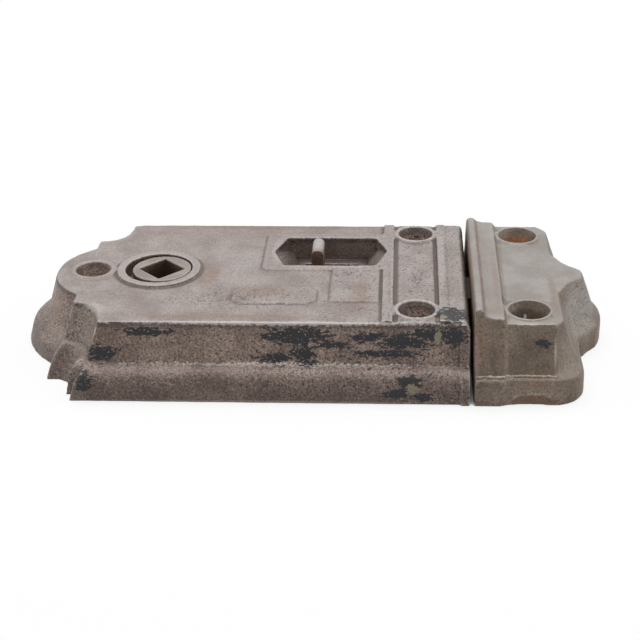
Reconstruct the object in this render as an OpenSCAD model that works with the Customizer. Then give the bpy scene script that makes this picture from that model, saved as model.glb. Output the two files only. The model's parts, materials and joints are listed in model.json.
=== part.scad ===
// Cast iron rim latch with a thumb-slide night bolt, and its keeper.
// It lies on the back that goes against the door. The origin is on the spindle
// axis in that plane, +X points at the keeper and +Z points out of the door.

/* [Case shell] */
// Height of the case face above the door
case_h = 16.8; // [16:0.2:22]
// Half the width of the case face
face_half_w = 28.6; // [28:0.2:36]
// Spindle axis forward to the front end of the case
front_x = 76; // [75:0.5:90]
// Spindle axis back to the ends of the straight sides, on the face
side_back_x = 11.4; // [10:0.2:15]
// Straight step between each side and its cove
side_step = 3.2; // [2:0.2:5]
// Radius of the coves at the rear corners
cove_r = 7.6; // [6.4:0.2:9]
// Crisp edge left at the ends of each cove
cove_edge = 0.5; // [0.1:0.1:0.6]
// How far the base's ledge stands into each cove
cove_ledge = 1.1; // [0.4:0.1:1.6]
// Radius of the rear lobe on the face
lobe_r = 16; // [14:0.2:19]
// Spindle axis back to the centre of the rear lobe
lobe_x = 10.4; // [8:0.2:13]
// Outward run of the slanted upper wall
slant_run = 2.8; // [1:0.2:4]
// Outward run of the base beyond the face, at the sides
flare_run = 8.2; // [7:0.2:10]
// Outward run of the base at the rear shoulders
rear_run = 6.4; // [5.6:0.2:9]
// Outward run of the base round the rear lobe
lobe_run = 8.2; // [6.6:0.2:10]
// Part of the rear run that the base's steep foot takes
foot_run = 1.2; // [0.4:0.1:2]
// Height of that steep foot at the rear
foot_h = 4.2; // [3:0.2:6]
// Height of the ledge round the base
band_h = 7.6; // [7.4:0.2:10]
// Rounding of the ledge's outer edge
band_round = 4.4; // [1:0.2:5]
// Thickness of the face
face_t = 2.8; // [2:0.2:3.6]
// Thickness of the upper side walls, measured at the face
wall_t = 2.8; // [2:0.2:4]
// Thickness of the base band at the sides
band_wall = 5.7; // [4.8:0.1:7]
// Thickness of iron over the cavity inside the base band
band_roof = 1.8; // [1.4:0.1:2.4]
// Thickness of the front wall
front_t = 3; // [2.4:0.2:4]
// Length of the bead round the front end
bead_w = 2.1; // [1:0.1:3]
// How far that bead stands out of the sides
bead_out = 0.5; // [0.2:0.1:1]

/* [Face relief] */
// Height of the recess border, the tablet and the raised block
relief_h = 0.4; // [0.2:0.1:0.8]
// Height of the rear rib across the face
rib_h = 0.6; // [0.3:0.1:1]
// Width of the rear rib
rib_w = 2.6; // [1.6:0.2:4]
// Front end back to the rear rib
rib_back = 18; // [17.4:0.2:20]
// Height of the panel between the front screws
panel_h = 0.3; // [0.2:0.1:0.6]
// Width of that panel
panel_w = 8.5; // [7:0.5:9]
// Height of the leading band
lead_h = 0.8; // [0.4:0.1:1.2]
// Width of the leading band, with its rounded front edge
lead_w = 7; // [5:0.2:7.6]
// Width of the light rib at the back of the leading band
lead_rib_w = 2.1; // [1:0.1:3]
// How far the rest of the leading band lies under its rib
lead_drop = 0.25; // [0.1:0.05:0.4]
// Rounding of the front edge
front_round = 2.3; // [1:0.1:2.6]
// Length of the blank tablet
tablet_l = 20; // [14:0.5:22]
// Width of the blank tablet
tablet_w = 9; // [6:0.5:11]
// Corner cut of the blank tablet
tablet_cut = 2; // [1:0.2:3]
// Spindle axis forward to the middle of the tablet
tablet_x = 29.3; // [27:0.5:30]
// Middle line of the case to the middle of the tablet
tablet_y = 14.1; // [12:0.5:16]
// Length of the raised block beside the tablet
block_l = 12.4; // [8:0.4:14]
// Width of the raised block
block_w = 18; // [10:0.5:20]
// How far the raised bands stop short of the face's edges
relief_inset = 0.3; // [0.1:0.1:0.8]

/* [Thumb recess] */
// Front end back to the middle of the recess
recess_back = 34.1; // [32:0.1:36]
// Length of the opening between its two points
recess_l = 28.6; // [27:0.2:30]
// Length of the two long edges of the opening
recess_edge_l = 23; // [21:0.2:25]
// Width of the opening
recess_w = 16.8; // [14:0.2:19]
// Length of the recess floor
recess_floor_l = 18.2; // [17:0.2:20]
// Depth of the recess floor under the face
recess_depth = 6; // [5:0.2:6.6]
// Thickness of the recess floor
recess_floor_t = 2.2; // [1.6:0.1:2.4]
// Thickness of the recess walls inside the case
recess_wall = 2.1; // [1.6:0.1:2.6]
// Width of the raised border behind the recess and on its long sides
border_w = 2.4; // [1:0.2:3]

/* [Door screw holes] */
// Front end back to the front screws
screw_back = 12.4; // [12:0.2:13]
// Middle line of the case to the front screws
screw_half_y = 22.2; // [21.6:0.2:24]
// Spindle axis back to the rear screw
rear_screw_x = 17.4; // [17:0.2:19]
// Radius of the screw holes
screw_r = 2.3; // [1.8:0.1:2.8]
// Radius of the countersinks at the face
sink_r = 4.5; // [3.8:0.1:5]
// Depth of the countersinks
sink_depth = 4.2; // [3:0.2:6]
// Radius of the raised rims
rim_r = 5.75; // [5.4:0.05:6.4]
// Height of the raised rims
rim_h = 0.85; // [0.3:0.05:1.2]
// Radius of the hollow posts inside the case
post_r = 5.2; // [4.6:0.1:6]

/* [Back plate] */
// Thickness of the back plate
plate_t = 1.6; // [1.2:0.1:2]
// Base band left outside the plate at each side
plate_margin = 3.2; // [2.6:0.1:4]
// Front end back to the front edge of the plate
plate_front = 2; // [1.4:0.1:2.6]
// Radius of the plate screws' shanks
plate_screw_r = 1.5; // [1.2:0.1:1.8]
// Radius of the plate screws' heads
plate_screw_head_r = 2.8; // [2.4:0.1:3.2]
// Length of the plate screws
plate_screw_l = 5.6; // [4.8:0.2:5.8]
// Spindle axis forward to the rear pair of plate screws
plate_screw_x = 6; // [2:1:10]
// Distance between the two pairs of plate screws
plate_screw_step = 40; // [36:1:44]
// Side of the hollow in to the plate screws
plate_screw_in = 2.2; // [2:0.1:2.6]
// Wall of the bosses that hold the plate screws
plate_boss_wall = 1.7; // [1.2:0.1:2]
// Width of the slots in the plate screws
drive_slot_w = 0.7; // [0.4:0.1:1]
// Depth of the slots in the plate screws
drive_slot_depth = 0.6; // [0.4:0.1:0.8]
// Depth of the countersunk heads of screws and rivets
head_cone = 0.7; // [0.5:0.1:1]
// Lap of the plate's tongue behind the hollow
tongue_lap = 2; // [1.4:0.1:2.2]
// Lap of the plate's tongue beside the hollow
tongue_side_lap = 1.5; // [1:0.1:1.8]
// Radius of the tenons in the plate
tenon_r = 1.2; // [1:0.1:1.3]
// How far the tenons stop short of the back
tenon_inset = 0.3; // [0.1:0.1:0.6]

/* [Spindle hub] */
// Square hole for the spindle
spindle_sq = 8.2; // [7:0.1:9]
// Thickness of the hub at the corners of its hole
hub_wall = 1.55; // [1.2:0.05:2]
// How far the hub stands above the face
hub_rise = 0.6; // [0:0.1:1]
// Thickness of the hub's collar
collar_t = 1.2; // [0.8:0.1:2]
// How far the collar stands out of the hub
collar_w = 2.4; // [2.2:0.1:3]
// Thickness of the washer between the collar and the face
washer_t = 0.8; // [0.5:0.1:1.2]
// Hub surface out to the middle of each wing's tip
wing_l = 3.65; // [3:0.05:4.5]
// Radius of the wing tips
wing_tip_r = 2.2; // [1.6:0.1:2.8]
// How far the bore in the face lies behind the spindle axis
bore_off = 0.75; // [0:0.05:1]
// Play between the hub and the bore in the face
hub_play = 0.3; // [0.2:0.05:0.5]
// Wall of the raised boss round the bore
boss_wall = 2.35; // [1.5:0.05:3]
// Height of the boss above the face
boss_h = 0.8; // [0.4:0.1:1.4]

/* [Latch] */
// Throw of the latch
latch_throw = 9.5; // [8:0.5:10.5]
// Half the width of the latch head
head_half_w = 6; // [5:0.2:6.6]
// Length of the latch head's bevel
bevel_l = 8; // [6:0.5:8.5]
// Thickness left at the latch's nose
nose_t = 2.2; // [1.6:0.1:3]
// Room over the latch head inside the case
head_room = 1.4; // [1:0.1:2]
// Room under the latch head inside the case
head_lift = 1.4; // [1:0.1:2]
// Thickness of the yoke
yoke_t = 3.2; // [2.8:0.1:3.4]
// Half the width of the yoke's shank
shank_half_w = 5; // [4.4:0.1:5.6]
// Width of the yoke's arms
arm_w = 3.4; // [2.6:0.2:4]
// Length of the yoke's bridge and of its lugs along the throw
bridge_w = 5; // [4:0.2:6]
// Length of the lugs that the hub's wings push
lug_w = 3.5; // [3:0.1:4.5]
// Length of the latch head's lap over the shank
lap_l = 12.5; // [11:0.5:14]
// Radius of the latch rivets
rivet_r = 1.4; // [1:0.1:1.6]
// Distance between the latch rivets
rivet_step = 6.5; // [6:0.25:7]
// Mean radius of the latch spring
spring_r = 2.4; // [2:0.1:2.8]
// Radius of the spring wire
wire_r = 0.4; // [0.3:0.05:0.5]
// Turns of the latch spring
spring_turns = 9; // [6:1:11]
// Radius of the rod inside the spring
rod_r = 1.5; // [1:0.1:1.6]
// Room between the rod and the yoke's ear when the latch is drawn in
rod_room = 3.4; // [1:0.2:6]
// Thickness of the spring post and of the yoke's ear
ear_t = 3; // [2.4:0.1:3.4]
// Thickness of the guide strap over the shank
strap_t = 1.2; // [1:0.1:1.4]
// Width of the guide strap
strap_w = 6; // [5:0.2:7]
// Thickness of the guide strap's legs
strap_leg_t = 2.7; // [2:0.1:3]
// Thickness of the guide strap's feet
strap_foot_t = 1; // [0.8:0.1:1.2]
// Length of the guide strap's feet
strap_foot_l = 6; // [5:0.2:6.6]
// Radius of the strap rivets
strap_rivet_r = 1.2; // [0.8:0.1:1.3]
// Room behind and beside the yoke in the case
yoke_room = 2.4; // [1.8:0.1:2.6]

/* [Night bolt] */
// Throw of the night bolt from its photographed place
bolt_throw = 8.5; // [6:0.5:9]
// Travel of the night bolt back from that place
bolt_back = 2; // [1:0.25:2.5]
// Half the width of the night bolt
bolt_half_w = 3.6; // [3:0.1:4]
// Length of the night bolt's thick nose
bolt_nose_l = 24; // [18:0.5:26]
// Thumb slide back to the rear end of the night bolt
bolt_tail_l = 5.6; // [4:0.2:6]
// How far the bolt's end lies inside the front end
bolt_inset = 0.2; // [0:0.1:1]
// Iron of the front wall between the latch and the night bolt
slot_bar = 2; // [1.4:0.1:2.4]
// Room beside the fin in the slot of the recess floor
slot_side = 1.3; // [0.3:0.1:1.6]
// Thickness of the thumb slide
fin_t = 3; // [2:0.1:3.4]
// Width of the thumb slide
fin_w = 8; // [6:0.2:8.4]
// Middle of the recess back to the thumb slide
fin_back = 4.8; // [4.4:0.1:5]
// Height of the thumb slide above the face
fin_rise = 2; // [0:0.2:3]
// Radius of the rivet that holds the thumb slide
thumb_rivet_r = 1; // [0.8:0.1:1.2]
// Radius of the stud that guides the night bolt
stud_r = 1.5; // [1.2:0.1:1.8]
// Radius of the stud's head
stud_head_r = 3; // [2.4:0.1:3.2]
// Thickness of the stud's head
stud_head_t = 1.2; // [0.8:0.1:1.6]
// Thickness of the bolt's leaf spring
leaf_t = 0.8; // [0.5:0.1:1]
// Outer radius of the leaf spring's bow
leaf_r = 18; // [16:0.5:22]
// Half angle of the leaf spring's bow
leaf_half_a = 35; // [30:1:38]
// Front end back to the middle of the leaf spring
leaf_back = 30; // [29:0.5:31]
// Radius of the leaf spring's post
leaf_post_r = 2; // [1.6:0.1:2.4]

/* [Keeper] */
// Gap between the case and the keeper
keeper_gap = 0.9; // [0.5:0.1:3]
// Length of the keeper's flat top behind its lip's front
keeper_l = 20.8; // [20:0.2:24]
// Half the width of the keeper's top
keeper_half_w = 28.4; // [28.2:0.2:36]
// How far the keeper's top lies above the case face
keeper_rise = 0.2; // [0:0.1:1]
// Corner radius of the keeper's base
keeper_corner = 8; // [4:0.2:9]
// Flats off the upper corners of its end: how far in they start along the side
facet_in = 1.6; // [1:0.1:2.4]
// Turn of those flats from the end
facet_turn = 36; // [30:1:42]
// Lean of those flats from upright
facet_lean = 18; // [14:1:22]
// Outward run of the keeper's slanted sides
keeper_slant = 6.6; // [4:0.2:7]
// Outward run of the keeper's base at the sides
keeper_flare = 8.2; // [8:0.1:9]
// Outward run of the keeper's slanted back end
keeper_end_slant = 3.6; // [2:0.2:4]
// Outward run of the keeper's base at that end
keeper_end_flare = 5.2; // [5:0.1:6.4]
// Height of the keeper's base ledge
keeper_band_h = 6.6; // [5:0.2:8]
// Rounding of that ledge
keeper_round = 1.2; // [0.6:0.1:1.3]
// Length of the tip past the flat top
tip_l = 6.9; // [6:0.1:8]
// Radius of the tip's rounded end
tip_end_r = 12; // [10:0.2:14]
// Outward run of the tip's slanted wall
tip_slant = 3.6; // [2:0.2:4]
// Outward run of the tip's base
tip_flare = 5.2; // [5:0.1:7]
// Radius of the scoops beside the tip
scoop_r = 16; // [14:0.2:18]
// Middle line to the centre of each scoop at the top
scoop_y = 15.3; // [14.8:0.1:16]
// How far each scoop spreads sideways towards the base
scoop_spread = 4.2; // [3:0.2:5]
// Length of the lip
lip_l = 7.3; // [6.8:0.1:7.6]
// Height of the lip's bead above the flat top
lip_h = 3.2; // [2.6:0.1:4]
// Height of the lip's step above the flat top
lip_step = 1.35; // [0.8:0.05:1.6]
// Radius of the lip's bead
lip_bead_r = 1.25; // [1:0.05:1.25]
// Radius of the hollow behind the bead
lip_hollow_r = 5.4; // [5:0.1:6]
// Middle of the bead back to the middle of that hollow
lip_hollow_back = 4; // [3.6:0.1:4.4]
// Rounding of the lip's back edge
lip_edge_r = 0.8; // [0.4:0.1:1.2]
// How far the lip stands out of the keeper's sides
lip_out = 0.8; // [0.4:0.1:1.2]
// Lip's front to the keeper's screws
keeper_screw_x = 13.1; // [12.8:0.1:14]
// Middle line to the keeper's screws
keeper_screw_y = 21.8; // [21.4:0.1:23]
// Radius of the keeper's screw holes
keeper_screw_r = 2.4; // [2:0.1:2.8]
// Radius of the keeper's countersinks
keeper_sink_r = 5; // [4.2:0.1:5.2]
// Radius of the rims round the keeper's screw holes
keeper_rim_r = 5.75; // [5.5:0.05:5.8]
// Height of the rims round the keeper's screw holes
keeper_rim_h = 0.5; // [0.2:0.1:0.8]
// Height of the panel between the keeper's screws
keeper_panel_h = 0.25; // [0.1:0.05:0.5]
// Back edge of the keeper's flat top to that panel
keeper_panel_in = 2.2; // [1:0.1:3]
// Room past the latch's nose in the keeper's pocket
pocket_room = 5; // [2:0.5:5]
// Room over the latch's nose in that pocket
pocket_rise = 1.4; // [0.6:0.1:1.6]
// Radius of the gate scar on the keeper's side
scar_r = 20; // [16:0.5:24]
// Depth of the gate scar at the base
scar_depth = 0.9; // [0.4:0.1:1.2]
// How far the middle of the gate scar lies under the base
scar_drop = 3.4; // [2:0.2:5]

/* [Clearances] */
// Gap between sliding faces
slide_gap = 0.3; // [0.2:0.05:0.35]
// Gap round sliding pieces in the front wall
slot_gap = 0.25; // [0.15:0.05:0.3]
// Gap between a running shaft and its bore
run_gap = 0.08; // [0.04:0.01:0.1]
// Gap round a rivet, screw or tenon
fit_gap = 0.05; // [0.02:0.01:0.1]
// End play of the hub and its washer
float_gap = 0.1; // [0.05:0.05:0.2]
// Gap between parts that pass each other
pass_gap = 0.6; // [0.4:0.1:0.8]

/* [Hidden] */
$fn = 64;

iron = [0.46, 0.42, 0.40];
worn_iron = [0.55, 0.53, 0.52];
plate_steel = [0.36, 0.33, 0.31];
steel = [0.62, 0.61, 0.60];
spring_steel = [0.40, 0.41, 0.44];

// Overlap that keeps joined shapes and cuts from sharing a face
bite = 1;

// Outline of the case
cove_y = face_half_w - side_step;
shoulder_x = side_back_x + cove_r;
slant_drop = case_h - band_h;
cove_cut_r = cove_r - cove_edge;
base_half_w = face_half_w + flare_run;

// Levels inside the case
ceiling_z = case_h - face_t;
band_cavity_z = band_h - band_roof;
recess_floor_z = case_h - recess_depth;
recess_under_z = recess_floor_z - recess_floor_t;
yoke_z0 = plate_t + slide_gap;
yoke_z1 = yoke_z0 + yoke_t;
strap_z1 = yoke_z1 + slide_gap + strap_t;
lap_z1 = recess_under_z - pass_gap;
head_z0 = plate_t + head_lift;
head_z1 = ceiling_z - head_room;
bolt_z0 = plate_t + strap_foot_t + slide_gap + float_gap;
bolt_z1 = recess_under_z - slide_gap;
washer_z1 = ceiling_z - float_gap;
collar_z1 = washer_z1 - washer_t - float_gap;

// Hub and yoke
hub_r = spindle_sq / sqrt(2) + hub_wall;
hub_z0 = 2 * float_gap;
collar_r = hub_r + collar_w;
wing_r = hub_r + wing_l;
hub_reach = wing_r + wing_tip_r;
bore_r = hub_r + bore_off + hub_play;
boss_r = bore_r + boss_wall;
lug_x1 = -wing_tip_r - slide_gap;
lug_x0 = lug_x1 - lug_w;
lug_y0 = hub_r + 2 * pass_gap;
arm_y0 = hub_reach + slide_gap;
arm_y1 = arm_y0 + arm_w;
bridge_x0 = hub_reach + latch_throw + pass_gap;
bridge_x1 = bridge_x0 + bridge_w;

// Recess walls inside the case
recess_x = front_x - recess_back;
recess_wall_x0 = recess_x - recess_l / 2 - recess_wall;
recess_wall_x1 = recess_x + recess_l / 2 + recess_wall;

// Latch head, lap, spring and strap along the throw
head_x0 = recess_wall_x1 + latch_throw + pass_gap;
head_x1 = front_x + latch_throw;
lap_x0 = head_x0 - lap_l;
rivet_x = lap_x0 + 2 * rivet_r;
ear_x1 = head_x0 - ear_t;
ear_x0 = ear_x1 - ear_t;
strap_x0 = bridge_x1 + pass_gap;
strap_x1 = strap_x0 + strap_w;
spring_post_x0 = strap_x1 + pass_gap;
spring_post_x1 = spring_post_x0 + ear_t;
strap_y0 = shank_half_w + slide_gap;
strap_y1 = strap_y0 + strap_leg_t;
strap_y2 = strap_y1 + strap_foot_l;
strap_rivet_y = (strap_y1 + strap_y2) / 2;
spring_y = -strap_y1 - pass_gap - spring_r / 2;
spring_z = yoke_z0 + spring_r + wire_r + slide_gap;
ear_y0 = spring_y - spring_r - wire_r - pass_gap;
ear_z1 = spring_z + spring_r + wire_r;

// Night bolt
bolt_y = max(strap_y1, head_half_w + slot_bar) + pass_gap + bolt_half_w;
bolt_x1 = front_x - bolt_inset;
fin_x0 = recess_x - fin_back;
fin_x1 = fin_x0 + fin_t;
bolt_x0 = fin_x0 - bolt_tail_l;
bolt_tail_z0 = yoke_z1 + slide_gap;
slot_x0 = fin_x0 - bolt_back - slide_gap;
slot_x1 = fin_x1 + bolt_throw + slide_gap;
slot_half_w = fin_w / 2 + slot_side;
recess_y = bolt_y - pass_gap;
stud_x = recess_wall_x1 + stud_head_r + pass_gap;
leaf_x = front_x - leaf_back;
leaf_y = bolt_y + bolt_half_w + slot_gap + leaf_r;
leaf_end_r = leaf_r - leaf_t / 2;
leaf_post_x = leaf_x - leaf_end_r * sin(leaf_half_a) - leaf_post_r / 2;
leaf_post_y = leaf_y - leaf_end_r * cos(leaf_half_a) + leaf_post_r / 2;
leaf_z0 = bolt_z0 + slide_gap;
leaf_z1 = bolt_z1 - pass_gap;

// Cavities and back plate
cavity_x1 = front_x - front_t;
cavity_x0 = -side_back_x + wall_t;
band_cavity_half_w = base_half_w - band_wall;
rear_cavity_x0 = lug_x0 - latch_throw - yoke_room;
rear_cavity_half_w = arm_y1 + yoke_room;
upper_rear_x0 = -shoulder_x + wall_t;
upper_rear_half_w = cove_y - cove_r - wall_t;
plate_half_w = base_half_w - plate_margin;
plate_x0 = -side_back_x + pass_gap;
plate_x1 = front_x - plate_front;
tongue_x0 = rear_cavity_x0 - tongue_lap;
tongue_half_w = rear_cavity_half_w + tongue_side_lap;
plate_screw_y = band_cavity_half_w - plate_screw_in;
plate_boss_r = plate_screw_r + plate_boss_wall;
plate_boss_z1 = band_cavity_z + bite / 2;

// Face relief
lead_x0 = front_x - lead_w;
rib_x1 = front_x - rib_back;
rib_x0 = rib_x1 - rib_w;
panel_x0 = front_x - screw_back - panel_w / 2;
relief_half_w = face_half_w - relief_inset;
border_x0 = recess_x - recess_l / 2 - border_w;
border_half_w = recess_w / 2 + border_w;
screw_x = front_x - screw_back;

// Keeper
keeper_h = case_h + keeper_rise;
keeper_x0 = front_x + keeper_gap;
keeper_x1 = keeper_x0 + keeper_l;
keeper_base_x = keeper_x1 + keeper_end_flare;
keeper_drop = keeper_h - keeper_band_h;
keeper_base_w = keeper_half_w + keeper_flare;
lip_x1 = keeper_x0 + lip_l;
lip_hollow_x = keeper_x0 + lip_bead_r + lip_hollow_back;
scoop_x = keeper_x1 + scoop_r;
pocket_x1 = head_x1 + pocket_room;
pocket_z1 = head_z1 + pocket_rise;
pocket_half_w = bolt_y + bolt_half_w + pass_gap;
keeper_screw_at = keeper_x0 + keeper_screw_x;
keeper_panel_half_w = keeper_screw_y - keeper_rim_r;

// Helpers
// Extrudes a drawing of Y and Z along X
module along_x(x0, x1) {
    translate([x0, 0, 0]) rotate([90, 0, 90]) linear_extrude(x1 - x0) children();
}

// Extrudes a drawing of X and Z along Y
module along_y(y0, y1) {
    translate([0, y1, 0]) rotate([90, 0, 0]) linear_extrude(y1 - y0) children();
}

module span(low, high) {
    translate(low) cube(high - low);
}

module both_sides() {
    children();
    mirror([1, 0]) children();
}

// Half section of a wall that slants out from the face, then steps out to a rounded ledge
module flare(w, h, slant, run, ledge, round) {
    polygon([[0, 0], [w + slant, 0], [w + slant, ledge], [w, h], [0, h]]);
    square([w + run, ledge - round]);
    square([w + run - round, ledge]);
    translate([w + run - round, ledge - round]) intersection() {
        circle(round);
        translate([-round, (round - ledge) / 2]) square(2 * ledge);
    }
}

module case_flare(w) {
    flare(w, case_h, slant_run, flare_run, band_h, band_round);
}

// Half section of the rear wall, which slopes on from the slant to a steep foot
module rear_flare(w, run) {
    polygon([
        [0, 0], [w + run, 0], [w + run - foot_run, foot_h],
        [w + slant_run, band_h], [w, case_h], [0, case_h]
    ]);
}

// Half section of the keeper, which slants and steps out to a base like the case's
module keeper_section(w, slant, run) {
    flare(w, keeper_h, slant, run, keeper_band_h, keeper_round);
}

// Round cutter between two levels that leans by run from its upper centre. A leaning
// cylinder is an ellipse in plan, so it is slimmed to reach r along X
module leaning_cut(centre, run, z0, z1, r) {
    drop = z1 - z0;
    side = norm(run);
    slope = norm([side, drop]) / drop;
    lean_r = r / norm([run[0] / side * slope, run[1] / side]);
    reach = 4 * (r + side);
    intersection() {
        translate([centre[0], centre[1], z1])
            rotate([0, -atan2(side, drop), atan2(run[1], run[0])])
                cylinder(r = lean_r, h = 4 * (drop + r), center = true);
        span([centre[0] - reach, centre[1] - reach, z0], [centre[0] + reach, centre[1] + reach, z1]);
    }
}

// Cutter whose upper end flares into the rounded edge of a ledge
module cove_foot(r, ledge, round) {
    rotate_extrude() {
        translate([0, -bite]) square([r, ledge + bite]);
        difference() {
            translate([0, ledge - round]) square([r + round, round]);
            translate([r + round, ledge - round]) circle(round);
        }
    }
}

module countersunk(r, head_r, cone, l) {
    cylinder(r = r, h = l);
    cylinder(r1 = head_r, r2 = r, h = cone);
}

// Case
module case_block(back, half_w) {
    intersection() {
        along_x(-back - flare_run, front_x) both_sides() case_flare(half_w);
        along_y(-base_half_w - bite, base_half_w + bite)
            translate([front_x, 0]) mirror([1, 0]) rear_flare(front_x + back, rear_run);
    }
}

module cove_cut(side) {
    slant = [-slant_run, side * slant_run];
    foot = [-rear_run, side * flare_run] - slant;
    top = [-shoulder_x, side * cove_y];
    leaning_cut(top - slant * bite / slant_drop, slant, band_h, case_h + bite, cove_cut_r);
    leaning_cut(top + slant, foot, -bite, band_h, cove_cut_r - cove_ledge);
}

module front_edge_cut() {
    along_y(-base_half_w - bite, base_half_w + bite)
        difference() {
            translate([front_x - front_round, case_h + lead_h - front_round])
                square([front_round + bite, front_round + bite]);
            translate([front_x - front_round, case_h + lead_h - front_round]) circle(front_round);
        }
}

module raised(x0, x1, y0, y1, h) {
    span([x0, y0, case_h - bite], [x1, y1, case_h + h]);
}

module rim(x, y, r, h, base_h) {
    translate([x, y, base_h]) rotate_extrude()
        polygon([[0, -bite], [r, -bite], [r, 0], [r - h / 2, h], [0, h]]);
}

module tablet() {
    l = tablet_l / 2;
    w = tablet_w / 2;
    c = tablet_cut;
    translate([tablet_x, -tablet_y, case_h - bite])
        linear_extrude(bite + relief_h)
            polygon([
                [-l, -w + c], [-l + c, -w], [l - c, -w], [l, -w + c],
                [l, w - c], [l - c, w], [-l + c, w], [-l, w - c]
            ]);
}

module case_relief() {
    raised(border_x0, rib_x0, recess_y - border_half_w, recess_y + border_half_w, relief_h);
    raised(rib_x0 - block_l, rib_x0 - bite, recess_y - border_half_w - block_w, recess_y, relief_h);
    raised(rib_x0, rib_x1, -relief_half_w, relief_half_w, rib_h);
    raised(panel_x0, panel_x0 + panel_w, -relief_half_w, relief_half_w, panel_h);
    raised(lead_x0, lead_x0 + lead_rib_w, -relief_half_w, relief_half_w, lead_h);
    raised(lead_x0, front_x, -relief_half_w, relief_half_w, lead_h - lead_drop);
    for (side = [-1, 1])
        rim(screw_x, side * screw_half_y, rim_r, rim_h, case_h);
    rim(-rear_screw_x, 0, rim_r, rim_h / 2, case_h);
    rim(-bore_off, 0, boss_r, boss_h, case_h);
    tablet();
}

module case_outside() {
    difference() {
        union() {
            case_block(side_back_x, face_half_w);
            case_block(shoulder_x, cove_y);
            translate([-lobe_x, 0, 0]) rotate_extrude() rear_flare(lobe_r, lobe_run);
            along_x(front_x - bead_w, front_x) both_sides() case_flare(face_half_w + bead_out);
            case_relief();
        }
        for (side = [-1, 1])
            cove_cut(side);
        front_edge_cut();
    }
}

module case_cavity() {
    half_w = face_half_w - wall_t;
    span([cavity_x0, -half_w, -bite], [cavity_x1, half_w, ceiling_z]);
    span([upper_rear_x0, -upper_rear_half_w, -bite], [cavity_x1, upper_rear_half_w, ceiling_z]);
    span([cavity_x0, -band_cavity_half_w, -bite], [cavity_x1, band_cavity_half_w, band_cavity_z]);
    span([rear_cavity_x0, -rear_cavity_half_w, -bite], [cavity_x1, rear_cavity_half_w, band_cavity_z]);
}

module plate_outline(grow) {
    translate([plate_x0 - grow, -plate_half_w - grow])
        square([plate_x1 - plate_x0 + 2 * grow, 2 * (plate_half_w + grow)]);
    translate([tongue_x0 - grow, -tongue_half_w - grow])
        square([plate_x1 - tongue_x0, 2 * (tongue_half_w + grow)]);
}

module at_plate_screws() {
    for (x = [plate_screw_x, plate_screw_x + plate_screw_step], side = [-1, 1])
        translate([x, side * plate_screw_y, 0]) children();
}

module at_door_screws() {
    for (side = [-1, 1])
        translate([screw_x, side * screw_half_y, 0]) children();
    translate([-rear_screw_x, 0, 0]) children();
}

module case_posts() {
    at_door_screws() cylinder(r = post_r, h = ceiling_z + bite);
    at_plate_screws()
        translate([0, 0, plate_t]) cylinder(r = plate_boss_r, h = plate_boss_z1 - plate_t);
    span(
        [recess_wall_x0, recess_y - recess_w / 2 - recess_wall, recess_under_z],
        [recess_wall_x1, recess_y + recess_w / 2 + recess_wall, ceiling_z + bite]
    );
}

// Opening with two points, whose ends slope in to a shorter floor
module recess_cut() {
    l = recess_l / 2;
    e = recess_edge_l / 2;
    w = recess_w / 2;
    f = recess_floor_l / 2;
    over = bite + rib_h;
    slope = (l - f) / recess_depth * over;
    intersection() {
        translate([recess_x, recess_y, recess_floor_z])
            linear_extrude(recess_depth + over)
                polygon([[-l, 0], [-e, w], [e, w], [l, 0], [e, -w], [-e, -w]]);
        along_y(recess_y - w, recess_y + w)
            translate([recess_x, recess_floor_z])
                polygon([
                    [-f, 0], [f, 0],
                    [l + slope, recess_depth + over], [-l - slope, recess_depth + over]
                ]);
    }
    span(
        [slot_x0, bolt_y - slot_half_w, recess_under_z - bite],
        [slot_x1, bolt_y + slot_half_w, recess_floor_z + bite]
    );
}

module screw_sink(r, head_r, depth, top) {
    widening = (head_r - r) / depth;
    translate([0, 0, -bite]) cylinder(r = r, h = top + 2 * bite);
    translate([0, 0, top - depth]) cylinder(r1 = r, r2 = head_r + widening * bite, h = depth + bite);
}

module case() {
    color(iron) difference() {
        union() {
            difference() {
                case_outside();
                case_cavity();
            }
            case_posts();
        }
        translate([0, 0, -bite]) linear_extrude(bite + plate_t) difference() {
            plate_outline(slide_gap);
            at_door_screws() circle(post_r);
        }
        translate([-bore_off, 0, 0]) cylinder(r = bore_r, h = case_h + boss_h + bite);
        recess_cut();
        for (side = [-1, 1])
            translate([screw_x, side * screw_half_y, 0])
                screw_sink(screw_r, sink_r, sink_depth, case_h + rim_h);
        translate([-rear_screw_x, 0, 0])
            screw_sink(screw_r, sink_r, sink_depth, case_h + rim_h / 2);
        at_plate_screws()
            cylinder(r = plate_screw_r + fit_gap, h = plate_screw_l + slide_gap);
        span(
            [cavity_x1 - bite, -head_half_w - slot_gap, head_z0 - slot_gap],
            [front_x + bite, head_half_w + slot_gap, head_z1 + slot_gap]
        );
        span(
            [cavity_x1 - bite, bolt_y - bolt_half_w - slot_gap, bolt_z0 - slot_gap],
            [front_x + bite, bolt_y + bolt_half_w + slot_gap, bolt_z1 + slot_gap]
        );
    }
}

// Back plate and its screws
module back_plate() {
    color(plate_steel) difference() {
        linear_extrude(plate_t) plate_outline(0);
        translate([0, 0, -bite]) {
            cylinder(r = hub_r + run_gap, h = plate_t + 2 * bite);
            at_door_screws() cylinder(r = post_r + slide_gap, h = plate_t + 2 * bite);
            for (spot = [spring_post_spot(), leaf_post_spot(), [stud_x, bolt_y, 0]])
                translate(spot) cylinder(r = tenon_r + fit_gap, h = plate_t + 2 * bite);
        }
        at_plate_screws() countersunk(
            plate_screw_r + fit_gap, plate_screw_head_r + fit_gap, head_cone + fit_gap, plate_t + bite);
        at_strap_rivets() countersunk(
            strap_rivet_r + fit_gap, 2 * strap_rivet_r + fit_gap, head_cone + fit_gap, plate_t + bite);
    }
}

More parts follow.
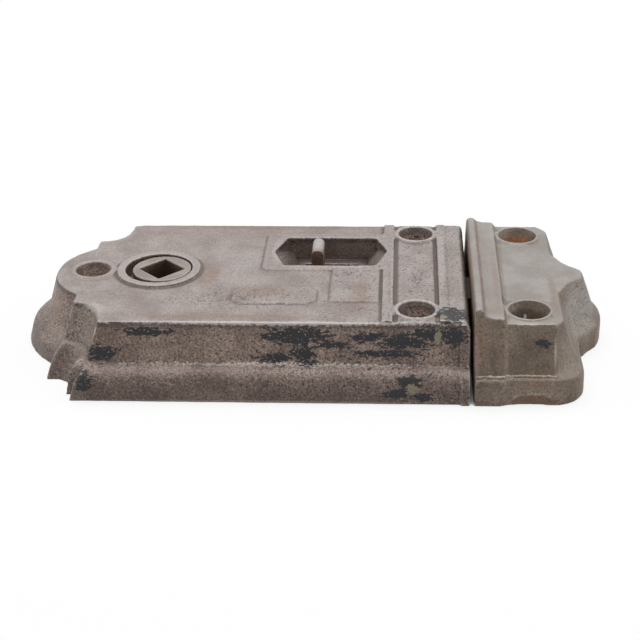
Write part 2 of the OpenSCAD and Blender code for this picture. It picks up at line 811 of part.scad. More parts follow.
module back_plate_screws() {
    reach = 2 * plate_screw_head_r;
    color(steel) at_plate_screws() difference() {
        countersunk(plate_screw_r, plate_screw_head_r, head_cone, plate_screw_l);
        span([-reach, -drive_slot_w / 2, -bite], [reach, drive_slot_w / 2, drive_slot_depth]);
    }
}

// Spindle hub and its washer
module wing(side) {
    translate([-wing_tip_r, side > 0 ? 0 : -wing_r, 0]) square([2 * wing_tip_r, wing_r]);
    translate([0, side * wing_r]) circle(wing_tip_r);
}

module spindle_hub() {
    color(worn_iron) difference() {
        union() {
            translate([0, 0, hub_z0]) cylinder(r = hub_r, h = case_h + hub_rise - hub_z0);
            translate([0, 0, collar_z1 - collar_t]) cylinder(r = collar_r, h = collar_t);
            for (side = [-1, 1])
                translate([0, 0, yoke_z0]) linear_extrude(yoke_t) wing(side);
        }
        rotate(45)
            translate([-spindle_sq / 2, -spindle_sq / 2, -bite])
                cube([spindle_sq, spindle_sq, case_h + hub_rise + 2 * bite]);
    }
}

module hub_washer() {
    color(steel) translate([0, 0, washer_z1 - washer_t]) difference() {
        cylinder(r = collar_r, h = washer_t);
        translate([0, 0, -bite]) cylinder(r = hub_r + float_gap, h = washer_t + 2 * bite);
    }
}

// Latch
module latch_yoke() {
    color(iron) difference() {
        union() {
            for (side = [-1, 1]) {
                low = side > 0 ? 0 : -1;
                translate([0, low * (arm_y0 + arm_y1), 0])
                    span([lug_x0, arm_y0, yoke_z0], [bridge_x1, arm_y1, yoke_z1]);
                translate([0, low * (lug_y0 + arm_y0 + bite), 0])
                    span([lug_x0, lug_y0, yoke_z0], [lug_x1, arm_y0 + bite, yoke_z1]);
            }
            span([bridge_x0, -arm_y0 - bite, yoke_z0], [bridge_x1, arm_y0 + bite, yoke_z1]);
            span([bridge_x0, -shank_half_w, yoke_z0], [head_x0, shank_half_w, yoke_z1]);
            span([ear_x0, ear_y0, yoke_z0], [ear_x1, -shank_half_w, ear_z1]);
            span([ear_x0, -shank_half_w - bite, yoke_z0], [ear_x1, 0, yoke_z1]);
        }
        at_latch_rivets() translate([0, 0, yoke_z0])
            countersunk(rivet_r + fit_gap, 2 * rivet_r + fit_gap, head_cone + fit_gap, yoke_t + bite);
    }
}

module at_latch_rivets() {
    for (x = [rivet_x, rivet_x + rivet_step])
        translate([x, 0, 0]) children();
}

module latch_head() {
    color(worn_iron) difference() {
        union() {
            along_y(-head_half_w, head_half_w) polygon([
                [head_x0, head_z0], [head_x1 - bevel_l, head_z0],
                [head_x1, head_z1 - nose_t], [head_x1, head_z1], [head_x0, head_z1]
            ]);
            span([lap_x0, -shank_half_w, yoke_z1], [head_x0 + bite, shank_half_w, lap_z1]);
        }
        at_latch_rivets() cylinder(r = rivet_r + fit_gap, h = case_h);
    }
}

module latch_rivets() {
    color(steel) at_latch_rivets() translate([0, 0, yoke_z0])
        countersunk(rivet_r, 2 * rivet_r, head_cone, lap_z1 - yoke_z0);
}

// One unbroken wire wound between the spring post and the yoke's ear
coil_rings = 8;
coil_sides = 6;
coil_x0 = spring_post_x1 + float_gap + wire_r;
coil_x1 = ear_x0 - float_gap - wire_r;
coil_steps = spring_turns * coil_rings;
coil_pitch = (coil_x1 - coil_x0) / spring_turns;

function coil_angle(i) = 360 * i / coil_rings;
function coil_centre(i) = [
    coil_x0 + coil_pitch * i / coil_rings,
    spring_y + spring_r * cos(coil_angle(i)),
    spring_z + spring_r * sin(coil_angle(i))
];
function coil_out(i) = [0, cos(coil_angle(i)), sin(coil_angle(i))];
function coil_point(i, k) =
    coil_centre(i)
    + wire_r * cos(360 * k / coil_sides) * coil_out(i)
    + wire_r * sin(360 * k / coil_sides) * [1, 0, 0];

coil_centres = [for (i = [0 : coil_steps]) coil_centre(i)];
coil_gaps = [
    for (i = [0 : coil_steps], j = [i + coil_rings / 2 : coil_steps])
        norm(coil_centres[i] - coil_centres[j]) - 2 * wire_r
];
echo(least_gap_between_turns = min(coil_gaps));

module latch_spring() {
    points = [for (i = [0 : coil_steps], k = [0 : coil_sides - 1]) coil_point(i, k)];
    wall = [
        for (i = [0 : coil_steps - 1], k = [0 : coil_sides - 1])
            let (
                a = i * coil_sides + k,
                b = i * coil_sides + (k + 1) % coil_sides,
                c = a + coil_sides,
                d = b + coil_sides
            )
            each [[a, c, b], [b, c, d]]
    ];
    last = coil_steps * coil_sides;
    ends = [
        for (k = [1 : coil_sides - 2])
            each [[0, k, k + 1], [last, last + k + 1, last + k]]
    ];
    color(spring_steel) polyhedron(points, concat(wall, ends), convexity = 10);
}

function spring_post_spot() = [(spring_post_x0 + spring_post_x1) / 2, spring_y, 0];

module spring_post() {
    color(iron) difference() {
        union() {
            span([spring_post_x0, ear_y0, plate_t], [spring_post_x1, -strap_y1 + pass_gap, ear_z1]);
            translate(spring_post_spot() + [0, 0, tenon_inset])
                cylinder(r = tenon_r, h = plate_t - tenon_inset + bite);
        }
        translate([spring_post_x0 - bite, spring_y, spring_z])
            rotate([0, 90, 0]) cylinder(r = rod_r + fit_gap, h = ear_t + 2 * bite);
    }
}

module spring_rod() {
    color(steel) translate([spring_post_x0, spring_y, spring_z])
        rotate([0, 90, 0]) cylinder(r = rod_r, h = ear_x0 - latch_throw - rod_room - spring_post_x0);
}

module at_strap_rivets() {
    for (side = [-1, 1])
        translate([(strap_x0 + strap_x1) / 2, side * strap_rivet_y, 0]) children();
}

module strap_side() {
    span([strap_x0, strap_y0, plate_t], [strap_x1, strap_y1, strap_z1]);
    span([strap_x0, strap_y0, plate_t], [strap_x1, strap_y2, plate_t + strap_foot_t]);
}

module latch_guide_strap() {
    color(plate_steel) difference() {
        union() {
            span([strap_x0, -strap_y1, strap_z1 - strap_t], [strap_x1, strap_y1, strap_z1]);
            strap_side();
            mirror([0, 1, 0]) strap_side();
        }
        at_strap_rivets() cylinder(r = strap_rivet_r + fit_gap, h = plate_t + strap_foot_t + bite);
    }
}

module strap_rivets() {
    color(steel) at_strap_rivets()
        countersunk(strap_rivet_r, 2 * strap_rivet_r, head_cone, plate_t + strap_foot_t);
}

// Night bolt
module night_bolt() {
    slot_r = stud_r + slot_gap;
    near_y = bolt_y - bolt_half_w;
    far_y = bolt_y + bolt_half_w;
    color(worn_iron) difference() {
        union() {
            span([bolt_x0, near_y, bolt_tail_z0], [bolt_x1, far_y, bolt_z1]);
            span([bolt_x1 - bolt_nose_l, near_y, bolt_z0], [bolt_x1, far_y, bolt_z1]);
        }
        span(
            [stud_x - bolt_throw - slot_r, bolt_y - slot_r, bolt_z0 - bite],
            [stud_x + bolt_back + slot_r, bolt_y + slot_r, bolt_z1 + bite]
        );
        translate([(fin_x0 + fin_x1) / 2, bolt_y, bolt_tail_z0]) countersunk(
            thumb_rivet_r + fit_gap, 2 * thumb_rivet_r + fit_gap, head_cone + fit_gap, bolt_z1);
    }
}

module thumb_slide() {
    z1 = case_h + fin_rise;
    top_r = fin_t / 2;
    color(worn_iron) difference() {
        union() {
            span([fin_x0, bolt_y - fin_w / 2, bolt_z1], [fin_x1, bolt_y + fin_w / 2, z1 - top_r]);
            translate([fin_x0 + top_r, bolt_y, z1 - top_r])
                rotate([90, 0, 0]) cylinder(r = top_r, h = fin_w, center = true);
        }
        translate([fin_x0 + top_r, bolt_y, bolt_z1 - bite])
            cylinder(r = thumb_rivet_r + fit_gap, h = bite + recess_floor_t + slide_gap);
    }
}

module thumb_rivet() {
    color(steel) translate([(fin_x0 + fin_x1) / 2, bolt_y, bolt_tail_z0])
        countersunk(thumb_rivet_r, 2 * thumb_rivet_r, head_cone, bolt_z1 - bolt_tail_z0 + recess_floor_t);
}

// Post that stands on the plate, with its tenon in it
module plate_post(r, z1) {
    translate([0, 0, tenon_inset]) cylinder(r = tenon_r, h = z1 - tenon_inset);
    translate([0, 0, plate_t]) cylinder(r = r, h = z1 - plate_t);
}

module bolt_guide_stud() {
    head_z0 = bolt_z1 + slide_gap;
    color(steel) translate([stud_x, bolt_y, 0]) {
        plate_post(stud_r, head_z0 + stud_head_t);
        translate([0, 0, head_z0]) cylinder(r = stud_head_r, h = stud_head_t);
    }
}

function leaf_post_spot() = [leaf_post_x, leaf_post_y, 0];

module bolt_leaf_spring() {
    reach = 2 * leaf_r;
    side_x = reach * tan(leaf_half_a);
    color(spring_steel) translate([0, 0, leaf_z0]) linear_extrude(leaf_z1 - leaf_z0) difference() {
        union() {
            translate([leaf_x, leaf_y]) intersection() {
                difference() {
                    circle(leaf_r);
                    circle(leaf_r - leaf_t);
                }
                polygon([[0, 0], [-side_x, -reach], [side_x, -reach]]);
            }
            translate(leaf_post_spot()) circle(leaf_post_r + fit_gap + leaf_t);
        }
        translate(leaf_post_spot()) circle(leaf_post_r + fit_gap);
    }
}

module leaf_spring_post() {
    color(steel) translate(leaf_post_spot()) plate_post(leaf_post_r, leaf_z1);
}

// Keeper
module base_corner_cut() {
    x = keeper_base_x - keeper_corner;
    y = keeper_base_w - keeper_corner;
    translate([x, y, -bite]) linear_extrude(keeper_h + 2 * bite) difference() {
        square(keeper_corner + bite);
        circle(keeper_corner);
    }
}

module corner_facet_cut() {
    reach = 2 * keeper_h;
    intersection() {
        translate([keeper_x1 - facet_in, keeper_half_w, keeper_h]) rotate([0, -facet_lean, facet_turn])
            span([0, -reach, -reach], [reach, reach, reach]);
        span(
            [keeper_x0, 0, keeper_band_h],
            [keeper_base_x + bite, keeper_base_w + bite, keeper_h + bite]
        );
    }
}

module keeper_block() {
    reach = keeper_base_w + bite;
    difference() {
        intersection() {
            along_x(keeper_x0, keeper_base_x + bite) both_sides()
                keeper_section(keeper_half_w, keeper_slant, keeper_flare);
            along_y(-reach, reach) translate([keeper_x0, 0])
                keeper_section(keeper_l, keeper_end_slant, keeper_end_flare);
        }
        for (side = [0, 1])
            mirror([0, side, 0]) {
                base_corner_cut();
                corner_facet_cut();
            }
    }
}

module keeper_tip() {
    intersection() {
        translate([keeper_x1 + tip_l - tip_end_r, 0, 0]) rotate_extrude()
            keeper_section(tip_end_r, tip_slant, tip_flare);
        span(
            [keeper_x1 - bite, -keeper_base_w, -bite],
            [keeper_x1 + tip_l + tip_flare + bite, keeper_base_w, keeper_h + bite]
        );
    }
}

module scoop_cut(side) {
    slant = [keeper_end_slant, side * scoop_spread * keeper_end_slant / keeper_end_flare];
    top = [scoop_x, side * scoop_y];
    leaning_cut(top, slant, keeper_band_h, keeper_h + bite, scoop_r);
    translate([scoop_x + keeper_end_flare, side * (scoop_y + scoop_spread), 0])
        cove_foot(scoop_r, keeper_band_h, keeper_round);
}

// Section of the lip: a bead at the front, a hollow behind it and a low step
module lip_section() {
    step_z = keeper_h + lip_step;
    bead_z = keeper_h + lip_h - lip_bead_r;
    translate([keeper_x0, 0]) square([lip_l - lip_edge_r, step_z]);
    translate([keeper_x0, 0]) square([lip_l, step_z - lip_edge_r]);
    translate([lip_x1 - lip_edge_r, step_z - lip_edge_r]) circle(lip_edge_r);
    translate([keeper_x0 + lip_bead_r, bead_z]) circle(lip_bead_r);
    difference() {
        translate([keeper_x0, 0]) square([lip_hollow_x - keeper_x0, bead_z]);
        translate([lip_hollow_x, step_z + lip_hollow_r]) circle(lip_hollow_r);
    }
}

module keeper_lip() {
    grow = lip_h / keeper_drop;
    intersection() {
        along_y(-2 * keeper_base_w, 2 * keeper_base_w) lip_section();
        along_x(keeper_x0, lip_x1) both_sides() flare(
            keeper_half_w + lip_out - keeper_slant * grow, keeper_h + lip_h,
            keeper_slant * (1 + grow), keeper_flare + keeper_slant * grow, keeper_band_h, keeper_round);
    }
}

module keeper() {
    scar_y = keeper_base_w - scar_depth + scar_r;
    color(iron) difference() {
        union() {
            keeper_block();
            difference() {
                keeper_tip();
                for (side = [-1, 1])
                    scoop_cut(side);
            }
            keeper_lip();
            for (side = [-1, 1])
                rim(keeper_screw_at, side * keeper_screw_y, keeper_rim_r, keeper_rim_h, keeper_h);
            span(
                [lip_x1, -keeper_panel_half_w, keeper_h - bite],
                [keeper_x1 - keeper_panel_in, keeper_panel_half_w, keeper_h + keeper_panel_h]
            );
        }
        span([keeper_x0 - bite, -pocket_half_w, -bite], [pocket_x1, pocket_half_w, pocket_z1]);
        for (side = [-1, 1])
            translate([keeper_screw_at, side * keeper_screw_y, 0])
                screw_sink(keeper_screw_r, keeper_sink_r, sink_depth, keeper_h + keeper_rim_h);
        translate([keeper_screw_at, -scar_y, -scar_drop]) sphere(scar_r);
    }
}

case();
back_plate();
back_plate_screws();
spindle_hub();
hub_washer();
latch_yoke();
latch_head();
latch_rivets();
latch_spring();
spring_rod();
spring_post();
latch_guide_strap();
strap_rivets();
night_bolt();
thumb_slide();
thumb_rivet();
bolt_guide_stud();
bolt_leaf_spring();
leaf_spring_post();
keeper();
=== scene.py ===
import json
import math

import bpy
from mathutils import Matrix, Vector


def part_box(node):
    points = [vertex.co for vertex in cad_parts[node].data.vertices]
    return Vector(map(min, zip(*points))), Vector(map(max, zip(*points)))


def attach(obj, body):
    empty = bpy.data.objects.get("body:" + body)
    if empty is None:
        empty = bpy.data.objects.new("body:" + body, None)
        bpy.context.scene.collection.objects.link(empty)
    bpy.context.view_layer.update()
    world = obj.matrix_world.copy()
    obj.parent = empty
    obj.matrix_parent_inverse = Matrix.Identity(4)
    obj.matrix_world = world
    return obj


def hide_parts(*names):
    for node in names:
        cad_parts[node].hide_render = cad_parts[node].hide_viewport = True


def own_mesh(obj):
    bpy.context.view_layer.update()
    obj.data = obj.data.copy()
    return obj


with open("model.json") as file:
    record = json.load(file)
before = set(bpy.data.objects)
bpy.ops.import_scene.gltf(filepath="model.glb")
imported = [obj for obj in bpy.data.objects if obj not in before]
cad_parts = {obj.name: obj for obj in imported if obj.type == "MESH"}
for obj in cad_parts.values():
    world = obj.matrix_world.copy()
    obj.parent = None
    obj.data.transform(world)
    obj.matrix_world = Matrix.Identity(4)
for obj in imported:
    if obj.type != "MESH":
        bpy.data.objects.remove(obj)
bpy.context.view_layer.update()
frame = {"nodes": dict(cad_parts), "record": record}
mm = 0.001
record = frame["record"]
slotOf = {part["node"]: part["material_slot"] for part in record["subparts"]}
bodyOf = {node: body for body, nodes in record["behaviour"]["bodies"].items() for node in nodes}
print("frame loaded with", len(frame["nodes"]), "nodes")


# Camera, set as the photo was taken
photoCamera = {
    "lens": 84.0, "sensor": 36.0,  # mm
    "distance": 386.2,  # mm from the point it looks at
    "aim": (39.07, 6.28, 0.0),  # mm, on the floor
    "elevation": 26.8,  # degrees above the floor
    "turn": 3.445,  # degrees towards the keeper
    "roll": -1.1,  # degrees, the photo is not quite level
    "clip": 10.0,  # mm, nothing nearer shows
}


def addPhotoCamera(setup):
    lift = math.radians(setup["elevation"])
    turn = math.radians(setup["turn"])
    roll = math.radians(setup["roll"])
    back = Vector((math.sin(turn) * math.cos(lift), -math.cos(turn) * math.cos(lift), math.sin(lift)))
    level = Vector((math.cos(turn), math.sin(turn), 0))
    up = back.cross(level)
    right = level * math.cos(roll) + up * math.sin(roll)
    top = up * math.cos(roll) - level * math.sin(roll)
    bpy.ops.object.camera_add()
    camera = bpy.context.object
    camera.name = "photoCamera"
    camera.data.lens = setup["lens"]
    camera.data.sensor_width = setup["sensor"]
    camera.data.clip_start = setup["clip"] * mm
    place = (Vector(setup["aim"]) + back * setup["distance"]) * mm
    camera.matrix_world = Matrix.Translation(place) @ Matrix((right, top, back)).transposed().to_4x4()
    bpy.context.scene.camera = camera


addPhotoCamera(photoCamera)
bpy.context.scene.view_settings.view_transform = "Standard"


# Node helpers, each gives back the socket that carries its result
def tone(red, green, blue):  # display colour, 0 to 255, to scene linear
    channels = []
    for value in (red, green, blue):
        part = value / 255
        channels.append(part / 12.92 if part <= 0.04045 else ((part + 0.055) / 1.055) ** 2.4)
    return (*channels, 1.0)


def link(tree, source, socket):
    if isinstance(source, bpy.types.NodeSocket):
        tree.links.new(source, socket)
    else:
        socket.default_value = source


def calc(tree, operation, first, second=0.0, third=0.0):
    node = tree.nodes.new("ShaderNodeMath")
    node.operation = operation
    for socket, value in zip(node.inputs, (first, second, third)):
        link(tree, value, socket)
    return node.outputs[0]


def times(tree, first, *others):
    result = first
    for other in others:
        result = calc(tree, "MULTIPLY", result, other)
    return result


def swing(tree, noise, spread, base):  # base, raised and lowered by a noise whose middle is 0.5
    return calc(tree, "MULTIPLY_ADD", calc(tree, "SUBTRACT", noise, 0.5), spread, base)


def vectorCalc(tree, operation, first, second):
    node = tree.nodes.new("ShaderNodeVectorMath")
    node.operation = operation
    link(tree, first, node.inputs[0])
    link(tree, second, node.inputs[1])
    return node.outputs["Value"] if operation == "LENGTH" else node.outputs["Vector"]


def fade(tree, value, low, high, start=0.0, end=1.0):  # smooth step from start to end
    node = tree.nodes.new("ShaderNodeMapRange")
    node.interpolation_type = "SMOOTHSTEP"
    link(tree, value, node.inputs["Value"])
    node.inputs["From Min"].default_value = low
    node.inputs["From Max"].default_value = high
    node.inputs["To Min"].default_value = start
    node.inputs["To Max"].default_value = end
    return node.outputs["Result"]


def mixColour(tree, amount, base, over, mode="MIX"):
    node = tree.nodes.new("ShaderNodeMix")
    node.data_type = "RGBA"
    node.blend_type = mode
    link(tree, amount, node.inputs[0])
    link(tree, base, node.inputs[6])
    link(tree, over, node.inputs[7])
    return node.outputs[2]


def millimetres(tree):  # object coordinates in mm
    coords = tree.nodes.new("ShaderNodeTexCoord")
    node = tree.nodes.new("ShaderNodeVectorMath")
    node.operation = "SCALE"
    tree.links.new(coords.outputs["Object"], node.inputs[0])
    node.inputs["Scale"].default_value = 1 / mm
    return node.outputs["Vector"]


def axes(tree, vector):
    node = tree.nodes.new("ShaderNodeSeparateXYZ")
    tree.links.new(vector, node.inputs[0])
    return node.outputs


def mark(tree, name):  # an attribute of the mesh
    node = tree.nodes.new("ShaderNodeAttribute")
    node.attribute_name = name
    return node.outputs["Fac"]


def cloud(tree, coords, scale, detail=4.0, rough=0.55, shift=0.0):  # noise, scale is lumps to the mm
    node = tree.nodes.new("ShaderNodeTexNoise")
    node.noise_dimensions = "4D"
    link(tree, coords, node.inputs["Vector"])
    node.inputs["W"].default_value = shift
    node.inputs["Scale"].default_value = scale
    node.inputs["Detail"].default_value = detail
    node.inputs["Roughness"].default_value = rough
    return node.outputs["Fac"]


def nearest(tree, coords, spots):  # 0 in the middle of a spot, 1 on its edge
    result = None
    for centre, reach in spots:
        away = vectorCalc(tree, "SUBTRACT", coords, centre)
        share = vectorCalc(tree, "DIVIDE", away, reach)
        distance = vectorCalc(tree, "LENGTH", share, (0, 0, 0))
        result = distance if result is None else calc(tree, "MINIMUM", result, distance)
    return result


def ragged(tree, coords, spots, scale, tear, shift, soft, thin=0.0):  # mask of spots with torn edges
    noise = cloud(tree, coords, scale, detail=6.0, rough=0.68, shift=shift)
    torn = calc(tree, "MULTIPLY_ADD", noise, tear, thin - tear / 2)
    edge = calc(tree, "ADD", nearest(tree, coords, spots), torn)
    return fade(tree, edge, 1.0, 1.0 - soft)


def addBump(tree, shader, height, distance, strength):  # distance in mm
    bump = tree.nodes.new("ShaderNodeBump")
    bump.inputs["Distance"].default_value = distance * mm
    link(tree, strength, bump.inputs["Strength"])
    link(tree, height, bump.inputs["Height"])
    link(tree, bump.outputs["Normal"], shader.inputs["Normal"])


def startFinish(name):
    material = bpy.data.materials.new(name)
    material.use_nodes = True
    tree = material.node_tree
    tree.nodes.clear()
    shader = tree.nodes.new("ShaderNodeBsdfPrincipled")
    output = tree.nodes.new("ShaderNodeOutputMaterial")
    tree.links.new(shader.outputs["BSDF"], output.inputs["Surface"])
    return material, tree, shader


# Stains and patches of painted light: spots are centre and reach in mm, scale is tears to the mm, thin makes
# them sparse
def colourPatchOf(colour, amount, spots, scale=0.3, tear=1.5, soft=0.8, thin=0.0):
    return {"colour": tone(*colour), "amount": amount, "spots": spots, "scale": scale, "tear": tear,
            "soft": soft, "thin": thin}


def addColourPatches(tree, coords, colour, stainsAndPaintedLight, shift):
    for number, colourPatch in enumerate(stainsAndPaintedLight):
        mask = ragged(tree, coords, colourPatch["spots"], colourPatch["scale"], colourPatch["tear"], shift + number,
                      colourPatch["soft"], colourPatch["thin"])
        colour = mixColour(tree, times(tree, mask, colourPatch["amount"]), colour, colourPatch["colour"])
    return colour


# Cast iron: brown walls and paler faces, partly painted shade and painted light, painted shade at the foot,
# sand grain, rust, darkening in the hollows, bright worn edges, old paint
noiseShift = {  # keeps the patterns apart
    "blotch": 1.3, "grain": 4.1, "speck": 7.7,
    "stainsAndPaintedLight": 11.0, "paint": 21.0, "chips": 31.0, "wornSpotsAndHighlights": 51.0,
}
ironFade = {  # where each mark starts and where it is full, then its strength at both
    "lowFace": (8.6, 12.0), "foot": (7.6, 5.8), "underside": (0.1, 0.4),  # mm above the floor
    "pitsAlong": (5.0, 66.0, 0.7, 2.1),  # mm from the hub
    "patch": (0.36, 0.64), "pit": (0.45, 0.34), "fleck": (0.6, 0.74), "unchipped": (0.7, 0.6),  # noise
    "eavesSpeck": (0.35, 0.6, 0.3, 0.9), "roughPatch": (0.3, 0.7),
    "halo": (-0.03, -0.2), "crest": (0.05, 0.3),  # mm of relief
    "hollowDark": (-0.015, -0.1), "proud": (0.05, 0.17),  # mm of stand
    "arris": (1.0, 0.7),  # share of a spot's reach
}
ironShare = {
    "speckScale": 0.62, "haloSwing": 0.2, "proudSwing": 0.3, "arrisShine": 0.95,
    "smoother": 0.05, "rougher": 0.08, "speckHeight": 0.6, "wallBump": 0.5, "faceBump": 0.4,
}
paintLook = {"stretch": (0.55, 1.0, 1.25), "scale": 1.1, "tear": 3.8, "soft": 0.16, "gloss": 0.1}


def ironField(tree, look):  # what the layers of the finish are worked out from
    coords = millimetres(tree)
    geometry = tree.nodes.new("ShaderNodeNewGeometry")
    place = axes(tree, coords)
    upward = fade(tree, axes(tree, geometry.outputs["Normal"])["Z"], look["faceFrom"], look["faceTo"])
    upward = times(tree, upward, fade(tree, place["Z"], *ironFade["lowFace"], look["lowFace"], 1.0))
    return {
        "coords": coords, "along": place["X"], "height": place["Z"],
        "upward": upward, "wallward": calc(tree, "SUBTRACT", 1.0, upward),
        "stand": mark(tree, "stand"),  # mm that a point stands out of its near surroundings
        "relief": mark(tree, "relief"),  # the same, over wider surroundings
        "blotch": cloud(tree, coords, look["blotch"], detail=5.0, rough=0.6, shift=noiseShift["blotch"]),
        "grain": cloud(tree, coords, look["grain"], detail=2.0, rough=0.55, shift=noiseShift["grain"]),
        "speck": cloud(tree, coords, look["grain"] * ironShare["speckScale"], detail=3.0, rough=0.6,
                       shift=noiseShift["speck"]),
    }


def ironBase(tree, field, look):  # brown walls with painted shade at the foot, paler rubbed faces that are partly painted light, stains and painted light
    patch = fade(tree, field["blotch"], *ironFade["patch"])
    wall = mixColour(tree, patch, look["wallDark"], look["wallPale"])
    face = mixColour(tree, patch, look["faceDark"], look["facePale"])
    # pale faces and dark walls: rubbed faces and brown walls, and partly painted light on faces that look up
    # and painted shade on the walls
    colour = mixColour(tree, field["upward"], wall, face)
    # painted shade: walls darken towards the floor
    foot = times(tree, fade(tree, field["height"], *ironFade["foot"]), look["foot"], field["wallward"])
    colour = mixColour(tree, foot, colour, look["pitAndShadeColour"])
    high = times(tree, fade(tree, field["height"], *look["rubbed"]), field["upward"], look["rub"])
    colour = mixColour(tree, high, colour, look["rubColour"])
    return addColourPatches(tree, field["coords"], colour, look["stainsAndPaintedLight"], noiseShift["stainsAndPaintedLight"])


def ironGrain(tree, field, look, colour):  # sand grain is coarser and darker on the walls
    wallExtra = look["wallGrain"] - look["faceGrain"]
    depth = calc(tree, "MULTIPLY_ADD", field["wallward"], wallExtra, look["faceGrain"])
    colour = mixColour(tree, 1.0, colour, swing(tree, field["grain"], depth, 1.0), "MULTIPLY")
    share = calc(tree, "MULTIPLY_ADD", field["wallward"], look["wallPits"], look["facePits"])
    along = fade(tree, field["along"], *ironFade["pitsAlong"])
    pit = times(tree, fade(tree, field["speck"], *ironFade["pit"]), share, along)
    colour = mixColour(tree, pit, colour, look["pitAndShadeColour"])
    fleck = times(tree, fade(tree, field["grain"], *ironFade["fleck"]), look["flecks"])
    return mixColour(tree, fleck, colour, look["fleckColour"])


def ironRelief(tree, field, look, colour):  # a brown halo beside the relief, whose top is rubbed lighter
    low = swing(tree, field["blotch"], ironShare["haloSwing"], field["relief"])
    halo = times(tree, fade(tree, low, *ironFade["halo"]), field["upward"], look["halo"])
    colour = mixColour(tree, halo, colour, look["haloColour"])
    crest = times(tree, fade(tree, field["relief"], *ironFade["crest"]), field["upward"], look["crest"])
    return mixColour(tree, crest, colour, look["rubColour"])


def darkenHollows(tree, field, look, colour):  # darker in the corners and hollows, and in a speckled band under the top edge
    hollowDark = fade(tree, field["stand"], *ironFade["hollowDark"])
    if look["eaves"]:
        eaves = times(tree, fade(tree, field["height"], *look["eaves"]), field["wallward"])
        eaves = times(tree, eaves, fade(tree, field["speck"], *ironFade["eavesSpeck"]))
        hollowDark = calc(tree, "MAXIMUM", hollowDark, eaves)
    hollowDark = times(tree, hollowDark, fade(tree, field["upward"], 0.0, 1.0, look["hollowDark"], look["faceHollowDark"]))
    return mixColour(tree, hollowDark, colour, look["hollowDarkColour"])


def ironEdge(tree, field, look):  # mask of the proud edges that are worn bright, none underneath
    proud = swing(tree, field["speck"], ironShare["proudSwing"], field["stand"])
    arris = nearest(tree, field["coords"], look["arris"])
    shine = fade(tree, arris, *ironFade["arris"], look["edges"], ironShare["arrisShine"])
    shine = times(tree, shine, fade(tree, field["height"], *ironFade["underside"]))
    return times(tree, fade(tree, proud, *ironFade["proud"]), shine)


def stretched(spot):
    return tuple(value * share for value, share in zip(spot, paintLook["stretch"]))


def ironPaint(tree, field, look, edge):  # mask of the paint that is left, streaked along the case
    streak = vectorCalc(tree, "MULTIPLY", field["coords"], paintLook["stretch"])
    spots = [(stretched(centre), stretched(reach)) for centre, reach in look["paint"]]
    paint = ragged(tree, streak, spots, paintLook["scale"], paintLook["tear"], noiseShift["paint"],
                   paintLook["soft"])
    whole = fade(tree, field["grain"], *ironFade["unchipped"])
    return times(tree, paint, times(tree, whole, calc(tree, "SUBTRACT", 1.0, edge)))


def castIron(name, look):
    material, tree, shader = startFinish(name)
    field = ironField(tree, look)
    colour = ironBase(tree, field, look)
    colour = ironGrain(tree, field, look, colour)
    colour = ironRelief(tree, field, look, colour)
    colour = darkenHollows(tree, field, look, colour)
    edge = ironEdge(tree, field, look)
    colour = mixColour(tree, edge, colour, look["edgeColour"])
    colour = addColourPatches(tree, field["coords"], colour, look["wornSpotsAndHighlights"], noiseShift["wornSpotsAndHighlights"])
    rough = fade(tree, field["blotch"], *ironFade["roughPatch"],
                 look["rough"] - ironShare["smoother"], look["rough"] + ironShare["rougher"])
    if look["paint"]:
        paint = ironPaint(tree, field, look, edge)
        colour = mixColour(tree, paint, colour, look["paintColour"])
        colour = addColourPatches(tree, field["coords"], colour, look["chips"], noiseShift["chips"])
        rough = calc(tree, "MULTIPLY_ADD", paint, -paintLook["gloss"], rough)
    height = calc(tree, "MULTIPLY_ADD", field["speck"], ironShare["speckHeight"], field["grain"])
    strength = calc(tree, "MULTIPLY_ADD", field["wallward"], ironShare["wallBump"], ironShare["faceBump"])
    addBump(tree, shader, height, look["bump"], strength)
    link(tree, colour, shader.inputs["Base Color"])
    link(tree, rough, shader.inputs["Roughness"])
    shader.inputs["Metallic"].default_value = look["metal"]
    return material


